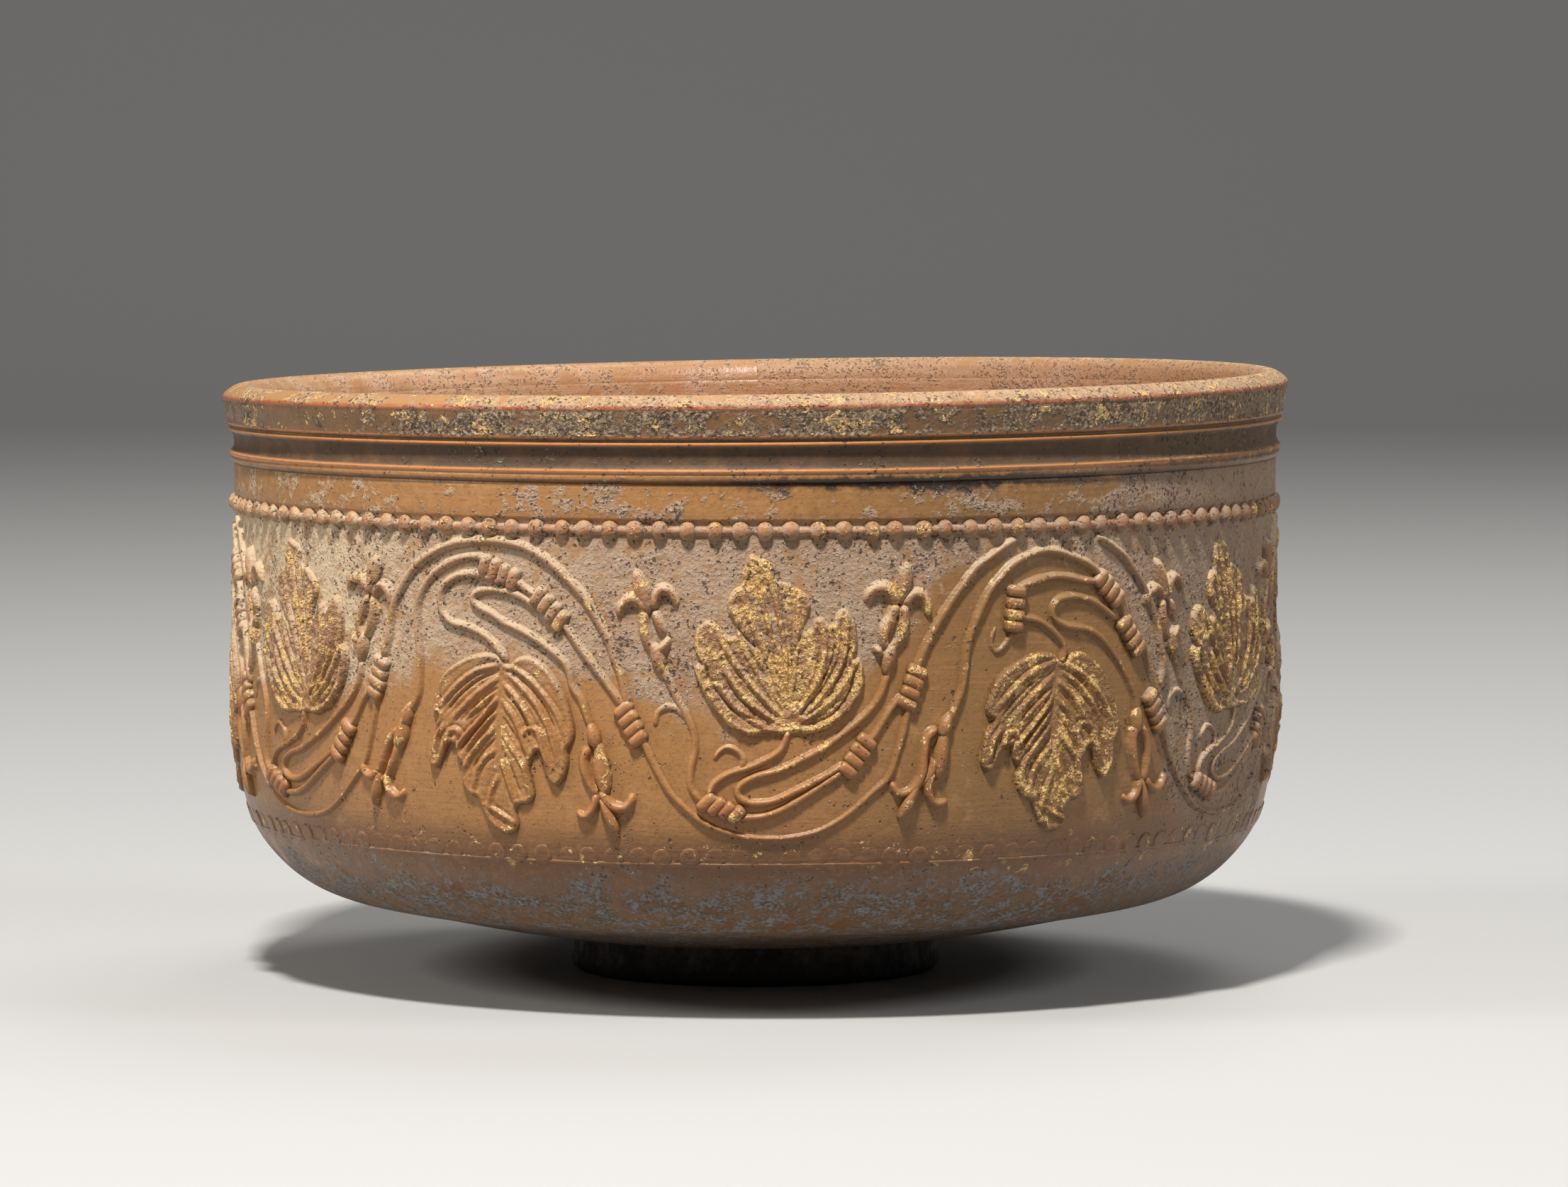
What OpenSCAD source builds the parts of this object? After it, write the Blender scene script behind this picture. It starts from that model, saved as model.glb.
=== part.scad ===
// Moulded red-gloss pottery bowl on a low foot ring, with a thrown rim and a vine scroll in low relief.
// Origin on the axis, in the plane that the foot ring stands on. +Z is up and -Y faces the viewer.

/* [Bowl] */
// Diameter of the moulded wall where it stands upright
body_d = 146.4; // [120:0.2:180]
// Height of the underside's middle above the table
foot_h = 5.2; // [3:0.1:9]
// Height from the underside's middle to the top of the moulded wall
wall_h = 67.2; // [62:0.2:90]
// Thickness of the fired clay in wall and floor
wall_t = 4.2; // [3:0.1:6]
// Height above the underside's middle at which the curved floor ends and the wall begins
floor_up = 14.8; // [12:0.1:16]
// How far the plain band under the rim stands out from the wall
band_out = 0.5; // [0.2:0.1:1.2]
// Height of the plain band under the rim
band_h = 4.8; // [3:0.1:8]

/* [Foot ring] */
// Outer diameter of the foot ring
foot_d = 52; // [40:0.5:70]
// Thickness of the foot ring at its root
foot_t = 4.4; // [3:0.1:7]
// Width of the flat that touches the table
foot_flat = 2.2; // [1:0.1:2.8]

/* [Rim] */
// Height of the thrown rim above the wall
rim_h = 12.6; // [9:0.1:18]
// Height of the lower fine ridge above the wall's top
low_ridge_up = 1.6; // [1:0.1:2.6]
// Height of the upper fine ridge above the wall's top
high_ridge_up = 5; // [3.8:0.1:6]
// How far the lip's outer crease stands out from the wall
lip_out = 2; // [1:0.1:4]
// How far the two fine ridges stand out from the wall
ridge_out = 1; // [0.5:0.1:1.8]
// How far the hollow band between the ridges stands out from the wall
hollow_out = 0.45; // [0.1:0.05:0.8]
// Height of the lip's rounded top above its outer crease
lip_round = 1.8; // [1:0.1:3]
// Depth of the groove round the inside of the lip
groove_t = 0.4; // [0.2:0.1:0.8]

/* [Bead rows] */
// Beads in a whole turn
bead_count = 132; // [60:6:180]
// Diameter of an upper bead
bead_d = 2.6; // [1.5:0.1:3]
// Height of an upper bead above the wall
bead_h = 0.95; // [0.5:0.05:1.2]
// Distance from the wall's top down to the upper row's middle
bead_drop = 6.1; // [5:0.1:9]
// Height of the fine cord that the upper beads are strung on
cord_h = 0.35; // [0.1:0.05:0.5]
// Diameter of a lower bead
low_bead_d = 2.8; // [1.5:0.1:3]
// Height of a lower bead above the wall
low_bead_h = 0.32; // [0.15:0.01:0.8]
// Height of the lower row's middle above the underside's middle
low_bead_up = 17.4; // [15:0.1:20]

/* [Vine scroll] */
// Width of the vine's main stem
stem_w = 1.6; // [1:0.1:2.4]
// Height of the vine's main stem above the wall
stem_h = 0.9; // [0.5:0.05:1.4]
// Width of a side stem
branch_w = 1.3; // [0.8:0.1:2]
// Height of a side stem above the wall
branch_h = 0.75; // [0.4:0.05:1.2]
// Length of a tie's wound lump, across the stems
tie_len = 3.5; // [2.5:0.1:5]
// Height of a tie above the wall
tie_h = 1.2; // [0.8:0.05:1.6]
// Height of a leaf's ridges above the wall
leaf_ridge = 1.45; // [0.9:0.05:1.7]
// Height of a leaf's furrows above the wall
leaf_furrow = 0.75; // [0.4:0.05:1]
// Height of a bud's petals above the wall
petal_h = 1.3; // [0.8:0.05:1.6]

/* [View] */
// Node to draw, or all

/* [Hidden] */
$fn = 96;
body_r = body_d / 2;
wall_top = foot_h + wall_h;
band_z = wall_top - band_h;
bead_z = wall_top - bead_drop;
low_bead_z = foot_h + low_bead_up;
// The scroll is drawn on a flat strip: s runs round the wall to the right, 77.2 to a unit, and z is the
// height as measured. Unit 0 faces -Y.
units = 6;
drawn_low = 22.6;
drawn_high = 66.3;
field_k = (bead_z - low_bead_z) / (drawn_high - drawn_low);
round_k = 2 * PI * body_r / (units * 77.2);

// Height above the underside's middle, and how far the outline lies inside the upright wall there
belly = [
  [0.8, 43], [1.9, 35.2], [3, 29.4], [3.9, 25.2], [4.8, 21], [5.6, 16.8], [6.5, 13.2], [8, 9.9],
  [10.3, 6.8], [13.4, 4], [16, 2.4], [18.4, 1.5], [21.4, 0.8], [25.4, 0.3], [30, 0.05], [35, 0],
  [45, 0.05], [55, 0.2]
];
wall_drawn = concat(
  [[0, foot_h]],
  [for (b = belly) [body_r - b[1], foot_h + b[0]]],
  [[body_r - 0.3, band_z - 0.5], [body_r - 0.3 + band_out, band_z], [body_r - 0.3 + band_out, wall_top]]
);

// Radius of the wall under the relief at the height z
function wall_r(z) = body_r - lookup(z - foot_h, belly);

// Height of the underside at the radius r
function under_z(r) = foot_h + lookup(r, concat([[0, 0]], [for (b = belly) [body_r - b[1], b[0]]]));

// A point of the scroll in unit k: s round the wall, drawn height z, h above the wall
function on_wall(s, z, h, k) =
  let (
    up = low_bead_z + (z - drawn_low) * field_k,
    turn = (s / 77.2 + k) * 360 / units - 90,
    r = wall_r(up) + h
  )
  [r * cos(turn), r * sin(turn), up];

// A smooth curve through the points, with n steps between each two
function smooth(p, n) = concat(
  [
    for (i = [0:len(p) - 2])
      for (j = [0:n - 1])
        let (
          t = j / n,
          a = p[max(i - 1, 0)],
          b = p[i],
          c = p[i + 1],
          d = p[min(i + 2, len(p) - 1)]
        )
        b + 0.5 * t * (c - a + t * (2 * a - 5 * b + 4 * c - d + t * (3 * (b - c) + d - a)))
  ],
  [p[len(p) - 1]]
);

// The inner face of the clay, wall_t inside the outer outline
function inward(p, i) =
  let (
    run = p[min(i + 1, len(p) - 1)] - p[max(i - 1, 0)],
    u = run / norm(run)
  )
  p[i] + wall_t * [-u[1], u[0]];

// Sections of a stem as [share of width, share of height]: rounded for the stems, ridged for the fine curls
rounded = [[0.5, 0], [0.23, 1], [-0.23, 1], [-0.5, 0]];
ridged = [[0.5, 0], [0, 1], [-0.5, 0]];

// A stem laid on the wall along the drawn points, thinning to the share tip at its end
module stem(k, drawn, w, h, section = rounded, tip = 1, steps = 2) {
  line = smooth(drawn, steps);
  last = len(line) - 1;
  m = len(section);
  points = [
    for (i = [0:last])
      let (
        run = line[min(i + 1, last)] - line[max(i - 1, 0)],
        thin = 1 - (1 - tip) * i / last,
        across = [-run[1], run[0]] / norm(run) * w * thin / round_k,
        p = line[i]
      )
      each [for (c = section) on_wall(p[0] + across[0] * c[0], p[1] + across[1] * c[0], h * thin * c[1], k)]
  ];
  sides = [
    for (i = [0:last - 1])
      for (j = [0:m - 1])
        let (a = m * i + j, b = m * i + (j + 1) % m)
        each [[a, a + m, b], [b, a + m, b + m]]
  ];
  ends = [for (j = [1:m - 2]) each [[0, j, j + 1], [m * last, m * last + j + 1, m * last + j]]];
  polyhedron(points = points, faces = concat(sides, ends));
}

// A pointed lump from a to b, such as a petal or one turn of a tie
module lump(k, a, b, w, h) {
  run = b - a;
  n = [-run[1], run[0]] / norm(run) * w / 2;
  low = [a, a + run / 4 + n, a + run * 3 / 4 + n, b, a + run * 3 / 4 - n, a + run / 4 - n];
  high = [a + run * 0.32, a + run * 0.68];
  points = concat(
    [for (p = low) on_wall(p[0], p[1], 0, k)],
    [for (p = high) on_wall(p[0], p[1], h, k)]
  );
  hull() polyhedron(points = points, faces = [[0, 1, 2], [3, 4, 5], [0, 5, 6], [2, 3, 7]]);
}

// A tie of several wound lumps across the stems, from a to b along them
module tie(k, a, b, turns) {
  run = b - a;
  across = [-run[1], run[0]] / norm(run) * tie_len / 2 / round_k;
  slant = run / norm(run) * 0.35;
  pitch = norm(run) / (turns - 1);
  for (i = [0:turns - 1]) {
    p = a + run * i / (turns - 1);
    lump(k, p - across - slant, p + across + slant, pitch * 0.96, tie_h);
  }
}

// A lobed leaf: ribs run from its base to each point of the outline, [s, z, share of ridge height]
module leaf(k, base, outline) {
  count = len(outline);
  reach = [0.4, 0.85];
  swell = [0.9, 0.95];
  rings = len(reach);
  function along(i, t) = base + ([outline[i][0], outline[i][1]] - base) * t;
  function high(i) = leaf_furrow + (leaf_ridge - leaf_furrow) * outline[i][2];
  function spot(p, h) = on_wall(p[0], p[1], h, k);
  top = [for (j = [0:rings - 1]) for (i = [0:count - 1]) spot(along(i, reach[j]), high(i) * swell[j])];
  edge = [for (i = [0:count - 1]) spot(along(i, 1), 0)];
  back = [for (i = [0:count - 1]) spot(along(i, 0.7), 0.12)];
  points = concat([spot(base, leaf_furrow)], top, edge, back, [spot(base, 0)]);
  rows = [
    for (j = [0:rings])
      for (i = [0:count - 1])
        let (a = 1 + j * count + i, b = 1 + j * count + (i + 1) % count)
        each [[a, a + count, b], [b, a + count, b + count]]
  ];
  tops = [for (i = [0:count - 1]) [0, 1 + i, 1 + (i + 1) % count]];
  last = 1 + (rings + 1) * count;
  backs = [for (i = [0:count - 1]) [last + count, last + (i + 1) % count, last + i]];
  polyhedron(points = points, faces = concat(rows, tops, backs));
}

// A bud of pointed petals, [from, to, width], with curled sepals
module bud(k, petals, curls) {
  for (p = petals) lump(k, p[0], p[1], p[2], petal_h);
  for (c = curls) stem(k, c, branch_w, branch_h, ridged, 0.8, 1);
}

// Places what follows at bead number i of the row at the height z, with its base on the wall
module at_bead(i, z) {
  lean = atan(wall_r(z + 0.5) - wall_r(z - 0.5));
  rotate([0, 0, (i + 0.5) * 360 / bead_count])
    translate([wall_r(z) - 0.012, 0, z])
      rotate([0, 90 + lean, 0])
        children();
}

// One bead of diameter d and height h, round in three cones
module bead(d, h) {
  r = d / 2;
  cylinder(r1 = r, r2 = 0.9 * r, h = 0.4 * h);
  translate([0, 0, 0.4 * h]) cylinder(r1 = 0.9 * r, r2 = 0.7 * r, h = 0.35 * h);
  translate([0, 0, 0.75 * h]) cylinder(r1 = 0.7 * r, r2 = 0.3 * r, h = 0.25 * h);
}

// Drawn points that each unit of the scroll repeats
trough_wave = [
  [-15.6, 40.2], [-13.1, 34.9], [-8.8, 29.2], [-3.8, 26.3], [2.3, 25.4], [8.5, 26.3], [13.8, 29.5],
  [18.2, 33.6], [20.4, 40.6], [21.4, 46]
];
crest_a = [
  [-55, 48.6], [-53.7, 53.4], [-51.4, 58], [-46, 62.6], [-40, 64.3], [-32.6, 64], [-27.2, 61.3],
  [-22, 56], [-18.6, 49.2], [-16.4, 42]
];
crest_b = [
  [26.8, 41.1], [28.4, 44.9], [29, 49.5], [30.7, 54.5], [34.2, 59.7], [38.4, 62.4], [43.2, 62.8],
  [50.1, 60], [54.7, 54.7], [59.4, 48], [62.2, 41.4]
];
// The stem that leaves the left tie and ends under the beads beside crest b, and the one that comes down
rising_end = [[21.9, 48], [23.8, 51.8], [26.8, 56.5], [30.7, 61.1], [36.5, 64.4]];
falling_start = [[50.5, 64.4], [55.1, 61.7], [58.9, 57.4], [61.6, 52.2], [62.8, 46.8], [61.9, 43.2]];
trough_branches = [
  [
    [17.6, 46.2], [15.3, 42.2], [10.3, 38.2], [5.4, 35.5], [0.4, 33.8], [-2, 31.9], [0, 30.3], [5.4, 31.7],
    [11.7, 35]
  ],
  [[-1.4, 28.3], [4.2, 29.5], [11.3, 34]],
  [[15.6, 38.6], [18.4, 42.6], [20.3, 45.6]],
  [[-11.8, 47.2], [-8.7, 41.5], [-7.7, 37.2], [-8.3, 34.5], [-7, 30.6]]
];
crest_a_branches = [
  [[-50.2, 41.2], [-48.4, 46.5], [-48.9, 52.6], [-48.3, 56.8], [-44.5, 60.7], [-38.6, 62]],
  [[-32.6, 59], [-30.4, 57.7]],
  [[-25.6, 53.4], [-21.1, 47.6], [-18, 43.2]],
  [[-31, 56.6], [-34.5, 57.8], [-38.9, 57.4], [-38.4, 55.5], [-31.5, 52.4], [-25.6, 48.2], [-21.9, 39.9]]
];
crest_b_branches = [
  [[50.2, 58.6], [45.1, 59.3], [40.5, 59.2], [37.2, 58.2]],
  [[53.8, 53.4], [49.7, 55.7], [45.1, 56.7], [42.4, 55], [47.4, 52.4], [53.2, 48.4], [57.3, 40.6]]
];
trough_stalk = [[-6, 31.2], [-5, 33], [-0.8, 34.9], [3.3, 37], [4.7, 40.6]];
crest_a_stalk = [[-34.3, 48.4], [-38, 52], [-43, 53.4], [-44.9, 56.5], [-42.2, 59.5], [-34.9, 58.8]];
crest_b_stalk = [[37, 54.4], [41.6, 52.8], [43.6, 50.6], [43.4, 47.8]];
trough_tendrils = [
  [[-1.5, 35.4], [-1.3, 36.3], [-3.5, 37.7], [-5.2, 35.9]],
  [[-9.6, 42], [-11.3, 43], [-13.1, 40.3]]
];
crest_b_tendril = [[35.8, 52.4], [34.3, 50.1], [32.8, 51], [33.5, 53]];
// Ties as [from, to, turns]
trough_ties = [
  [[20.6, 43.4], [21.9, 47.4], 4], [[-17.3, 42.5], [-15.3, 38.7], 4],
  [[-6.2, 30.4], [-2.3, 28.6], 4], [[12.6, 34.5], [15.1, 38.3], 4]
];
crest_a_ties = [[[-37.4, 61.2], [-33.2, 59.4], 4], [[-29.4, 57.3], [-26.2, 54.1], 4]];
crest_b_ties = [
  [[50.5, 59], [53.4, 56.2], 4], [[54.9, 52.6], [57.3, 49.3], 4], [[36.6, 57.6], [36.1, 53.2], 4]
];
upright_outline = [
  [-0.8, 39.2, 0.4], [-3.1, 40.3, 0.8], [-5, 42.2, 1], [-6.5, 44.5, 0.6], [-7.7, 47.8, 1], [-6.7, 48.8, 0],
  [-7.8, 51.8, 0.8], [-7.1, 53.6, 1], [-5.8, 54.5, 0.8], [-3.4, 52.6, 0], [-2.9, 54.7, 0.6], [-3.3, 57, 1],
  [-2, 59.2, 0.2], [-1.3, 60.8, 0.7], [-0.2, 63.2, 1], [1.5, 62.6, 0.7], [3.1, 59.7, 0.2], [5, 59, 0.8],
  [7.2, 57, 1], [7, 53.8, 0], [8.3, 54.8, 0.8], [10.2, 53.9, 0.1], [11.9, 55.9, 0.8], [13.2, 55, 1],
  [13.8, 51.3, 0.7], [13.3, 49.2, 0], [14.7, 48, 0.9], [14.6, 45.7, 1], [13.5, 43.4, 0.5], [11.9, 41.5, 0.9],
  [9, 39.7, 0.4], [5.4, 39.3, 0.2]
];
hanging_outline = [
  [-32.6, 49, 0.2], [-28.8, 48.4, 0.7], [-25.9, 44.5, 1], [-24.2, 40.3, 0.8], [-24.3, 38.4, 0.9],
  [-25.3, 37.2, 0], [-25.1, 35.3, 0.8], [-26.7, 32, 1], [-27.9, 33, 0.7], [-29.6, 36, 0], [-30.7, 34.6, 0.1],
  [-30.1, 31.1, 0.8], [-31.1, 29.5, 1], [-32.8, 28.6, 0.1], [-33.4, 25.7, 0.7], [-34.9, 25.3, 1],
  [-36.8, 26.1, 0.8], [-38.2, 29, 0.1], [-40.5, 30.7, 1], [-41.3, 32.6, 0.8], [-41.8, 36.6, 0],
  [-43.2, 36, 0.5], [-44.9, 34, 1], [-46.5, 36.1, 0.9], [-46.1, 38.4, 0.7], [-45.1, 40.7, 0],
  [-45.9, 42.6, 0.9], [-44.2, 46.5, 1], [-42.2, 48, 0.5], [-39.5, 49.2, 0.8], [-36.6, 49.4, 0.2]
];
upright_bud_left = [
  [[-14.2, 56.1], [-15.5, 60.9], 1.7], [[-13.3, 50], [-14.5, 56], 2.4], [[-12.4, 50], [-12.5, 55.4], 2],
  [[-11.8, 47], [-12.7, 50.6], 1.6]
];
upright_curls_left = [
  [[-14.8, 55.9], [-16.7, 57], [-17.9, 54.9]],
  [[-12.9, 55.8], [-12.3, 58.3], [-10.9, 57.8], [-10.3, 56.6]]
];
upright_bud_right = [
  [[19.8, 57.2], [20.5, 61.8], 1.7], [[17.9, 51], [18.5, 57], 2.2], [[18.9, 51], [20.2, 57], 2.2],
  [[17.6, 47.6], [18.3, 51.4], 1.6]
];
upright_curls_right = [
  [[18.7, 57], [17.4, 58.8], [15.7, 58], [15.2, 56.6]],
  [[20.8, 56.8], [22.2, 57.9], [23.6, 56.5], [23.6, 55]]
];
// Each hanging bud as [petals, curls]
hanging_buds_a = [
  [
    [
      [[-21.9, 40], [-21, 37], 1.8], [[-20.9, 37.6], [-20.1, 30.6], 2.4],
      [[-22.7, 36.4], [-21.2, 30.6], 1.5], [[-20.6, 30.4], [-18.6, 26.3], 1.6]
    ],
    [[[-20.4, 31], [-18.8, 29.5], [-17.2, 29.5], [-16.3, 31]], [[-21.3, 31], [-22.2, 28.2], [-23.8, 28.6]]]
  ],
  [
    [
      [[-50.1, 41.8], [-51.2, 38.8], 1.8], [[-50.8, 40], [-52.2, 36.2], 2.5], [[-52, 37], [-54.9, 31], 1.9],
      [[-55.4, 32.2], [-57.3, 28.2], 1.6]
    ],
    [
      [[-52.1, 37.9], [-54.8, 34.9], [-56.4, 32.2], [-58.9, 32.4], [-59.3, 34]],
      [[-54.6, 31.9], [-53.3, 29.7], [-51.6, 30.2]]
    ]
  ]
];
hanging_buds_b = [
  [
    [
      [[26.4, 41.4], [25.4, 38.8], 1.8], [[26, 39.6], [24.7, 33], 2.3], [[23.8, 39.4], [23.2, 35.4], 1.8],
      [[22.6, 32.6], [19.7, 28], 1.6]
    ],
    [
      [[23.2, 36.2], [22.4, 32.9], [19.8, 31.3], [18.4, 32.8]],
      [[24.4, 34], [23.6, 32], [25.1, 29.8], [26.6, 30.4]]
    ]
  ],
  [
    [
      [[57.3, 41], [57, 38], 1.8], [[56.5, 38.8], [57.6, 30.8], 2], [[58.6, 38.8], [59.2, 31.2], 2],
      [[58.4, 31.4], [59.6, 26.2], 1.5]
    ],
    [[[57.6, 31.2], [57.2, 29], [55.7, 29]], [[59.6, 31.4], [61.3, 29.9], [63.3, 31.6]]]
  ]
];

// The clay that was pressed into the mould, from the middle of the floor to the top of the plain band
module moulded_clay() {
  inner = [for (i = [len(belly):-1:0]) inward(wall_drawn, i)];
  rotate_extrude()
    polygon(concat(wall_drawn, [[body_r - wall_t, wall_top]], [for (p = inner) [max(p[0], 0), p[1]]]));
}

// Everything below the height at which the floor ends
module below_floor_end() {
  cylinder(r = body_r + 10, h = foot_h + floor_up);
}

// The curved floor of the bowl, up to the start of the wall
module bowl_floor() {
  color([0.5, 0.42, 0.36])
    intersection() {
      moulded_clay();
      below_floor_end();
    }
}

// The upright wall with the plain band, open at the top
module moulded_wall() {
  color([0.62, 0.36, 0.2])
    difference() {
      moulded_clay();
      below_floor_end();
    }
}

// The rim, thrown onto the moulded wall: step, two ridges, hollow band and rounded lip
module thrown_rim() {
  inner = body_r - wall_t;
  lip = body_r + lip_out;
  crease = wall_top + rim_h - lip_round;
  foot = body_r - 0.3 + band_out;
  low_ridge = wall_top + low_ridge_up;
  high_ridge = wall_top + high_ridge_up;
  crown = lip - 2.8;
  bulge = crown - inner - 0.6;
  outer = [
    [foot, wall_top], [body_r + ridge_out - 0.3, wall_top + 0.15],
    [body_r + ridge_out - 0.2, low_ridge - 0.2], [body_r + ridge_out - 0.2, low_ridge],
    [body_r + hollow_out + 0.1, low_ridge + 0.5], [body_r + hollow_out, (low_ridge + high_ridge) / 2],
    [body_r + hollow_out + 0.2, high_ridge - 0.7], [body_r + ridge_out, high_ridge - 0.2],
    [body_r + ridge_out, high_ridge + 0.1], [body_r + ridge_out - 0.25, high_ridge + 0.5],
    [body_r + ridge_out + 0.15, high_ridge + 0.9], [lip, crease]
  ];
  crown_outer = [for (a = [15:15:90]) [crown + 2.6 * cos(a), crease + lip_round * sin(a)]];
  crown_inner = [for (a = [105:15:180]) [crown + bulge * cos(a), crease + lip_round * sin(a)]];
  groove = [
    [inner + 0.6, crease - 0.9], [inner + 0.6 + groove_t, crease - 1.2], [inner + 0.5, crease - 1.6],
    [inner, wall_top]
  ];
  color([0.55, 0.42, 0.3])
    rotate_extrude()
      polygon(concat(outer, crown_outer, crown_inner, groove));
}

// The foot ring, luted under the floor, its root fitted to the underside
module foot_ring() {
  out = foot_d / 2;
  root = out - foot_t;
  mid = out - foot_t / 2;
  color([0.5, 0.3, 0.2])
    rotate_extrude()
      polygon([
        [root, under_z(root)], [mid - foot_flat / 2 - 0.5, 0.6], [mid - foot_flat / 2, 0],
        [mid + foot_flat / 2, 0], [mid + foot_flat / 2 + 0.5, 0.6], [out, under_z(out) - 1],
        [out, under_z(out)]
      ]);
}

// The upper beads
module upper_bead_row() {
  color([0.66, 0.36, 0.22])
    for (i = [0:bead_count - 1]) at_bead(i, bead_z) bead(bead_d, bead_h);
}

// The fine cord between the upper beads
module bead_cord() {
  r = wall_r(bead_z);
  half_bead = asin(bead_d / 2 / r);
  pitch = 360 / bead_count;
  color([0.6, 0.36, 0.22])
    for (i = [0:bead_count - 1])
      rotate([0, 0, (i + 0.5) * pitch + half_bead])
        rotate_extrude(angle = pitch - 2 * half_bead)
          polygon([
            [r, bead_z - 0.5], [r + cord_h, bead_z - 0.2], [r + cord_h, bead_z + 0.2], [r, bead_z + 0.5]
          ]);
}

// The lower beads, pressed flat
module lower_bead_row() {
  color([0.6, 0.36, 0.22])
    for (i = [0:bead_count - 1])
      at_bead(i, low_bead_z) cylinder(r1 = low_bead_d / 2, r2 = low_bead_d / 2 - 0.15, h = low_bead_h);
}

// The wavy main stem, three turns of crest a and three of crest b between the troughs
module vine_stem() {
  color([0.64, 0.42, 0.2]) {
    for (k = [0:units - 1]) stem(k, trough_wave, stem_w, stem_h);
    for (k = [0:2:units - 1]) {
      stem(k, crest_a, stem_w, stem_h);
      stem(k, crest_b, stem_w, stem_h);
      stem(k, rising_end, stem_w, stem_h, tip = 0.8);
      stem(k, falling_start, stem_w, stem_h);
    }
  }
}

// The side stems that leave the ties for the buds
module branch_stems() {
  color([0.66, 0.44, 0.22]) {
    for (k = [0:units - 1])
      for (b = trough_branches) stem(k, b, branch_w, branch_h);
    for (k = [0:2:units - 1]) {
      for (b = crest_a_branches) stem(k, b, branch_w, branch_h);
      for (b = crest_b_branches) stem(k, b, branch_w, branch_h);
    }
  }
}

// The stalks of the leaves
module leaf_stalks() {
  color([0.66, 0.44, 0.22]) {
    for (k = [0:units - 1]) stem(k, trough_stalk, branch_w, branch_h);
    for (k = [0:2:units - 1]) {
      stem(k, crest_a_stalk, branch_w, branch_h);
      stem(k, crest_b_stalk, branch_w, branch_h);
    }
  }
}

// The wound ties where the stems part
module stem_ties() {
  color([0.7, 0.38, 0.22]) {
    for (k = [0:units - 1])
      for (t = trough_ties) tie(k, t[0], t[1], t[2]);
    for (k = [0:2:units - 1]) {
      for (t = crest_a_ties) tie(k, t[0], t[1], t[2]);
      for (t = crest_b_ties) tie(k, t[0], t[1], t[2]);
    }
  }
}

// The fine curled tendrils
module tendrils() {
  color([0.66, 0.44, 0.22]) {
    for (k = [0:units - 1])
      for (b = trough_tendrils) stem(k, b, branch_w * 0.7, branch_h * 0.6, ridged, 0.7, 1);
    for (k = [0:2:units - 1])
      stem(k, crest_b_tendril, branch_w * 0.7, branch_h * 0.6, ridged, 0.7, 1);
  }
}

// The six upright leaves in the troughs
module upright_leaves() {
  color([0.74, 0.56, 0.2])
    for (k = [0:units - 1]) leaf(k, [4.6, 41.4], upright_outline);
}

// The six hanging leaves under the crests
module hanging_leaves() {
  color([0.68, 0.48, 0.22])
    for (k = [0:2:units - 1]) {
      leaf(k, [-34.3, 46.8], hanging_outline);
      leaf(k + 1.008, [-34.3, 46.8], hanging_outline);
    }
}

// The buds that stand in the troughs, one on each side of the leaf
module upright_buds() {
  color([0.72, 0.5, 0.22])
    for (k = [0:units - 1]) {
      bud(k, upright_bud_left, upright_curls_left);
      bud(k, upright_bud_right, upright_curls_right);
    }
}

// The buds that hang under the crests, one on each side of the leaf
module hanging_buds() {
  color([0.7, 0.46, 0.22])
    for (k = [0:2:units - 1]) {
      for (b = hanging_buds_a) bud(k, b[0], b[1]);
      for (b = hanging_buds_b) bud(k, b[0], b[1]);
    }
}

bowl_floor();
moulded_wall();
thrown_rim();
foot_ring();
upper_bead_row();
bead_cord();
lower_bead_row();
vine_stem();
branch_stems();
leaf_stalks();
stem_ties();
tendrils();
upright_leaves();
hanging_leaves();
upright_buds();
hanging_buds();
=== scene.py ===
"""Dresses the solids of a moulded pottery bowl: gloss slip, burial crust and remains of gold leaf."""
import math
import random

import bpy
import numpy as np
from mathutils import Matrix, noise


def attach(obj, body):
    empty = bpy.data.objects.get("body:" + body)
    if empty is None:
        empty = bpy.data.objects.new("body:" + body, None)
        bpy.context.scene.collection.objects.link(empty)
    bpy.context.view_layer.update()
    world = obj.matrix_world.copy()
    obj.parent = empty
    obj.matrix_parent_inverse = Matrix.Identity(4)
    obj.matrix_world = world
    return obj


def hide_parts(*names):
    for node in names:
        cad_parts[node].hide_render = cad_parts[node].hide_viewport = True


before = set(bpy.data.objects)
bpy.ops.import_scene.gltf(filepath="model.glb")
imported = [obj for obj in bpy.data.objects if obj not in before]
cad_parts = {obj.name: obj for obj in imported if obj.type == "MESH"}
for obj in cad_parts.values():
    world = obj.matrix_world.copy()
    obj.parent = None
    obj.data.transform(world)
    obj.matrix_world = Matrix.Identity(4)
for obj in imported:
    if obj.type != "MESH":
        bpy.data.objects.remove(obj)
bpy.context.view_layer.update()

bl_info = {
    "name": "Moulded vine-scroll bowl",
    "version": (1, 0, 0),
    "blender": (4, 5, 0),
    "location": "View3D > Sidebar > Bowl",
    "description": "Builds a moulded pottery bowl with a vine scroll in low relief",
    "category": "Object",
}

MM = 0.001
# Repeats of the scroll round the wall, the width that one is drawn in, and the radius that this fits
UNITS = 6
UNIT_W = 77.2
DRAWN_R = UNITS * UNIT_W / math.tau
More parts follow.
